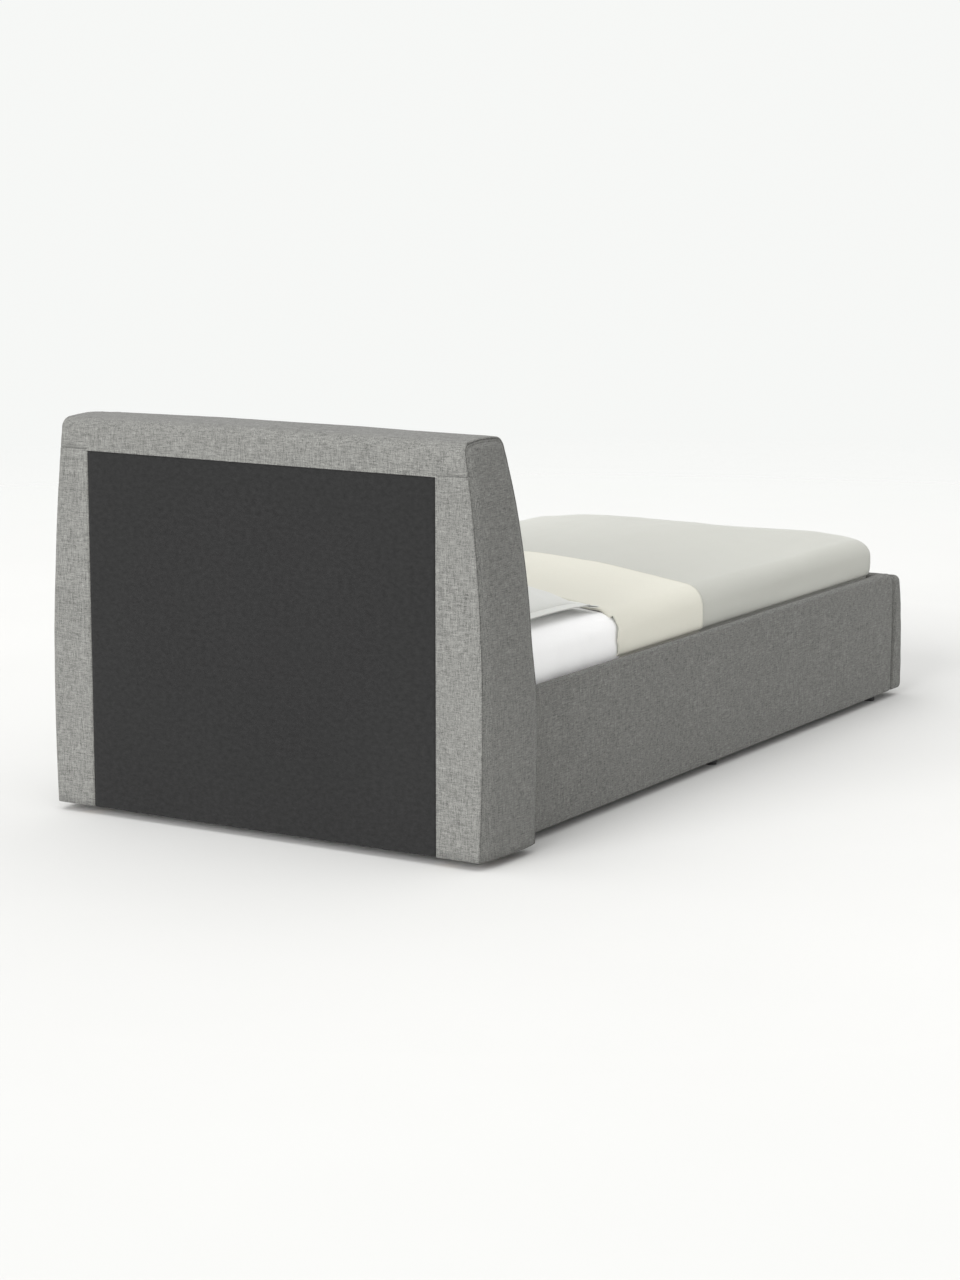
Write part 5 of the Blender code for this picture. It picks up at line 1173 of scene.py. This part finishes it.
def add_sun(name, way, spread, power):
    """A soft distant lamp that shines from a direction; spread is its width in degrees."""
    data = bpy.data.lights.new(name, "SUN")
    data.angle = math.radians(spread)
    data.energy = power
    lamp = bpy.data.objects.new(name, data)
    lamp.rotation_euler = Vector(way).to_track_quat("Z", "Y").to_euler()
    bpy.context.collection.objects.link(lamp)


def make_stage(settings):
    """Floor, background, lamps and the camera."""
    make_floor(settings)
    make_world()
    for lamp in LAMPS:
        add_sun(*lamp)
    data = bpy.data.cameras.new("camera")
    data.sensor_width = 36.0
    data.lens = settings.lens
    data.clip_end = 200
    camera = bpy.data.objects.new("camera", data)
    camera.location = CAMERA_PLACE
    turn, dip = settings.turn, settings.dip
    ahead = Vector((math.sin(turn) * math.cos(dip), -math.cos(turn) * math.cos(dip), -math.sin(dip)))
    camera.rotation_euler = ahead.to_track_quat("-Z", "Y").to_euler()
    bpy.context.collection.objects.link(camera)
    bpy.context.scene.camera = camera
    bpy.context.scene.view_settings.view_transform = "Standard"


# Operators


class BED_OT_finishes(Operator):
    """Gives every piece of the frame its wood, metal or plastic finish"""

    bl_idname = "bed.finishes"
    bl_label = "Frame finishes"

    def execute(self, context):
        settings = context.scene.bed_frame
        pine_y = wood_material("pine_bars", settings.pine, (0.42, 0.25, 0.12), "Y")
        pine_x = wood_material("pine_rails", settings.pine, (0.42, 0.25, 0.12), "X")
        ply = plywood_material(settings)
        hard = wood_material("hardboard", (0.22, 0.13, 0.07), (0.15, 0.085, 0.045), "Z", 0.3, 0.7)
        paint = hard_material("powder_coat", settings.steel, 0.42, 0.0, 0.5, (0.075, 0.076, 0.08))
        zinc = hard_material("zinc_plate", (0.46, 0.47, 0.48), 0.34, 1.0, 0.5, (0.36, 0.36, 0.36))
        chrome = hard_material("polished_rod", (0.68, 0.69, 0.71), 0.12, 1.0, 0.25, (0.55, 0.56, 0.57))
        black, worn = (0.022, 0.022, 0.024), (0.06, 0.06, 0.06)
        plastic = hard_material("black_plastic", black, 0.5, 0.0, 0.6, worn, 0.4)
        chosen = {
            "side_rail_left": ply, "side_rail_right": ply, "footboard": ply, "headboard_side": ply,
            "headboard_center": ply, "headboard_front_panel": hard, "headboard_top": pine_x,
            "headboard_bottom": pine_x, "headboard_bolt": pine_x, "floor_panel": board_material(),
            "floor_bearer": pine_x, "slat_frame_left": pine_y, "slat_frame_right": pine_y,
            "slat_frame": pine_x, "slat_": slat_material(settings), "corner_bracket": zinc,
            "glide": plastic, "lift_": paint, "guide_": paint, "platform_bracket": paint,
            "strut_cylinder": paint, "strut_rod": chrome, "mattress_stop": zinc,
        }
        for name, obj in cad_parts.items():
            found = [start for start in chosen if name.startswith(start)]
            if found:
                obj.data.materials.clear()
                obj.data.materials.append(chosen[max(found, key=len)])
        return {"FINISHED"}


class BED_OT_headboard(Operator):
    """Makes the headboard's sewn cover"""

    bl_idname = "bed.headboard"
    bl_label = "Headboard cover"

    def execute(self, context):
        make_headboard(context.scene.bed_upholstery)
        return {"FINISHED"}


class BED_OT_back_cloth(Operator):
    """Makes the cloth on the headboard's back"""

    bl_idname = "bed.back_cloth"
    bl_label = "Back cloth"

    def execute(self, context):
        make_back_cloth(context.scene.bed_upholstery)
        return {"FINISHED"}


class BED_OT_rails(Operator):
    """Makes the padded covers of both side rails"""

    bl_idname = "bed.rails"
    bl_label = "Rail covers"

    def execute(self, context):
        make_rails(context.scene.bed_upholstery)
        return {"FINISHED"}


class BED_OT_footboard(Operator):
    """Makes the footboard's padded cover"""

    bl_idname = "bed.footboard"
    bl_label = "Footboard cover"

    def execute(self, context):
        make_footboard(context.scene.bed_upholstery)
        return {"FINISHED"}


class BED_OT_mattress(Operator):
    """Makes the mattress in its fitted sheet"""

    bl_idname = "bed.mattress"
    bl_label = "Mattress"

    def execute(self, context):
        make_mattress(context.scene.bed_bedding)
        return {"FINISHED"}


class BED_OT_duvet(Operator):
    """Makes the duvet"""

    bl_idname = "bed.duvet"
    bl_label = "Duvet"

    def execute(self, context):
        make_duvet(context.scene.bed_bedding)
        return {"FINISHED"}


class BED_OT_band(Operator):
    """Makes the turned-back sheet"""

    bl_idname = "bed.band"
    bl_label = "Turned-back sheet"

    def execute(self, context):
        make_band(context.scene.bed_bedding)
        return {"FINISHED"}


class BED_OT_pillow(Operator):
    """Makes the pillow"""

    bl_idname = "bed.pillow"
    bl_label = "Pillow"

    def execute(self, context):
        make_pillow(context.scene.bed_bedding)
        return {"FINISHED"}


class BED_OT_hardware(Operator):
    """Makes the pull strap and the bolts"""

    bl_idname = "bed.hardware"
    bl_label = "Strap and bolts"

    def execute(self, context):
        make_strap()
        make_fasteners()
        return {"FINISHED"}


class BED_OT_stage(Operator):
    """Sets the floor, the light and the camera"""

    bl_idname = "bed.stage"
    bl_label = "Stage"

    def execute(self, context):
        make_stage(context.scene.bed_stage)
        return {"FINISHED"}


class BED_PT_panel(Panel):
    """Lists the bed's pieces and their settings."""

    bl_idname = "BED_PT_panel"
    bl_label = "Storage Bed"
    bl_space_type = "VIEW_3D"
    bl_region_type = "UI"
    bl_category = "Bed"

    def draw(self, context):
        for group in SETTINGS:
            settings = getattr(context.scene, group)
            for field in settings.__annotations__:
                self.layout.prop(settings, field)
        for operator in STEPS:
            self.layout.operator(operator.bl_idname)


SETTINGS = {
    "bed_upholstery": UpholsterySettings,
    "bed_bedding": BeddingSettings,
    "bed_frame": FrameSettings,
    "bed_stage": StageSettings,
}
STEPS = (
    BED_OT_finishes, BED_OT_headboard, BED_OT_back_cloth, BED_OT_rails, BED_OT_footboard, BED_OT_mattress,
    BED_OT_duvet, BED_OT_band, BED_OT_pillow, BED_OT_hardware, BED_OT_stage,
)


def register():
    """Registers the settings, the operators and the panel."""
    for name, group in SETTINGS.items():
        bpy.utils.register_class(group)
        setattr(bpy.types.Scene, name, PointerProperty(type=group))
    for item in (*STEPS, BED_PT_panel):
        bpy.utils.register_class(item)


def unregister():
    """Removes them again."""
    for item in (BED_PT_panel, *reversed(STEPS)):
        bpy.utils.unregister_class(item)
    for name, group in SETTINGS.items():
        delattr(bpy.types.Scene, name)
        bpy.utils.unregister_class(group)


def main():
    """Runs every step in order."""
    register()
    for step in STEPS:
        prefix, name = step.bl_idname.split(".")
        getattr(getattr(bpy.ops, prefix), name)()


if __name__ == "__main__":
    main()
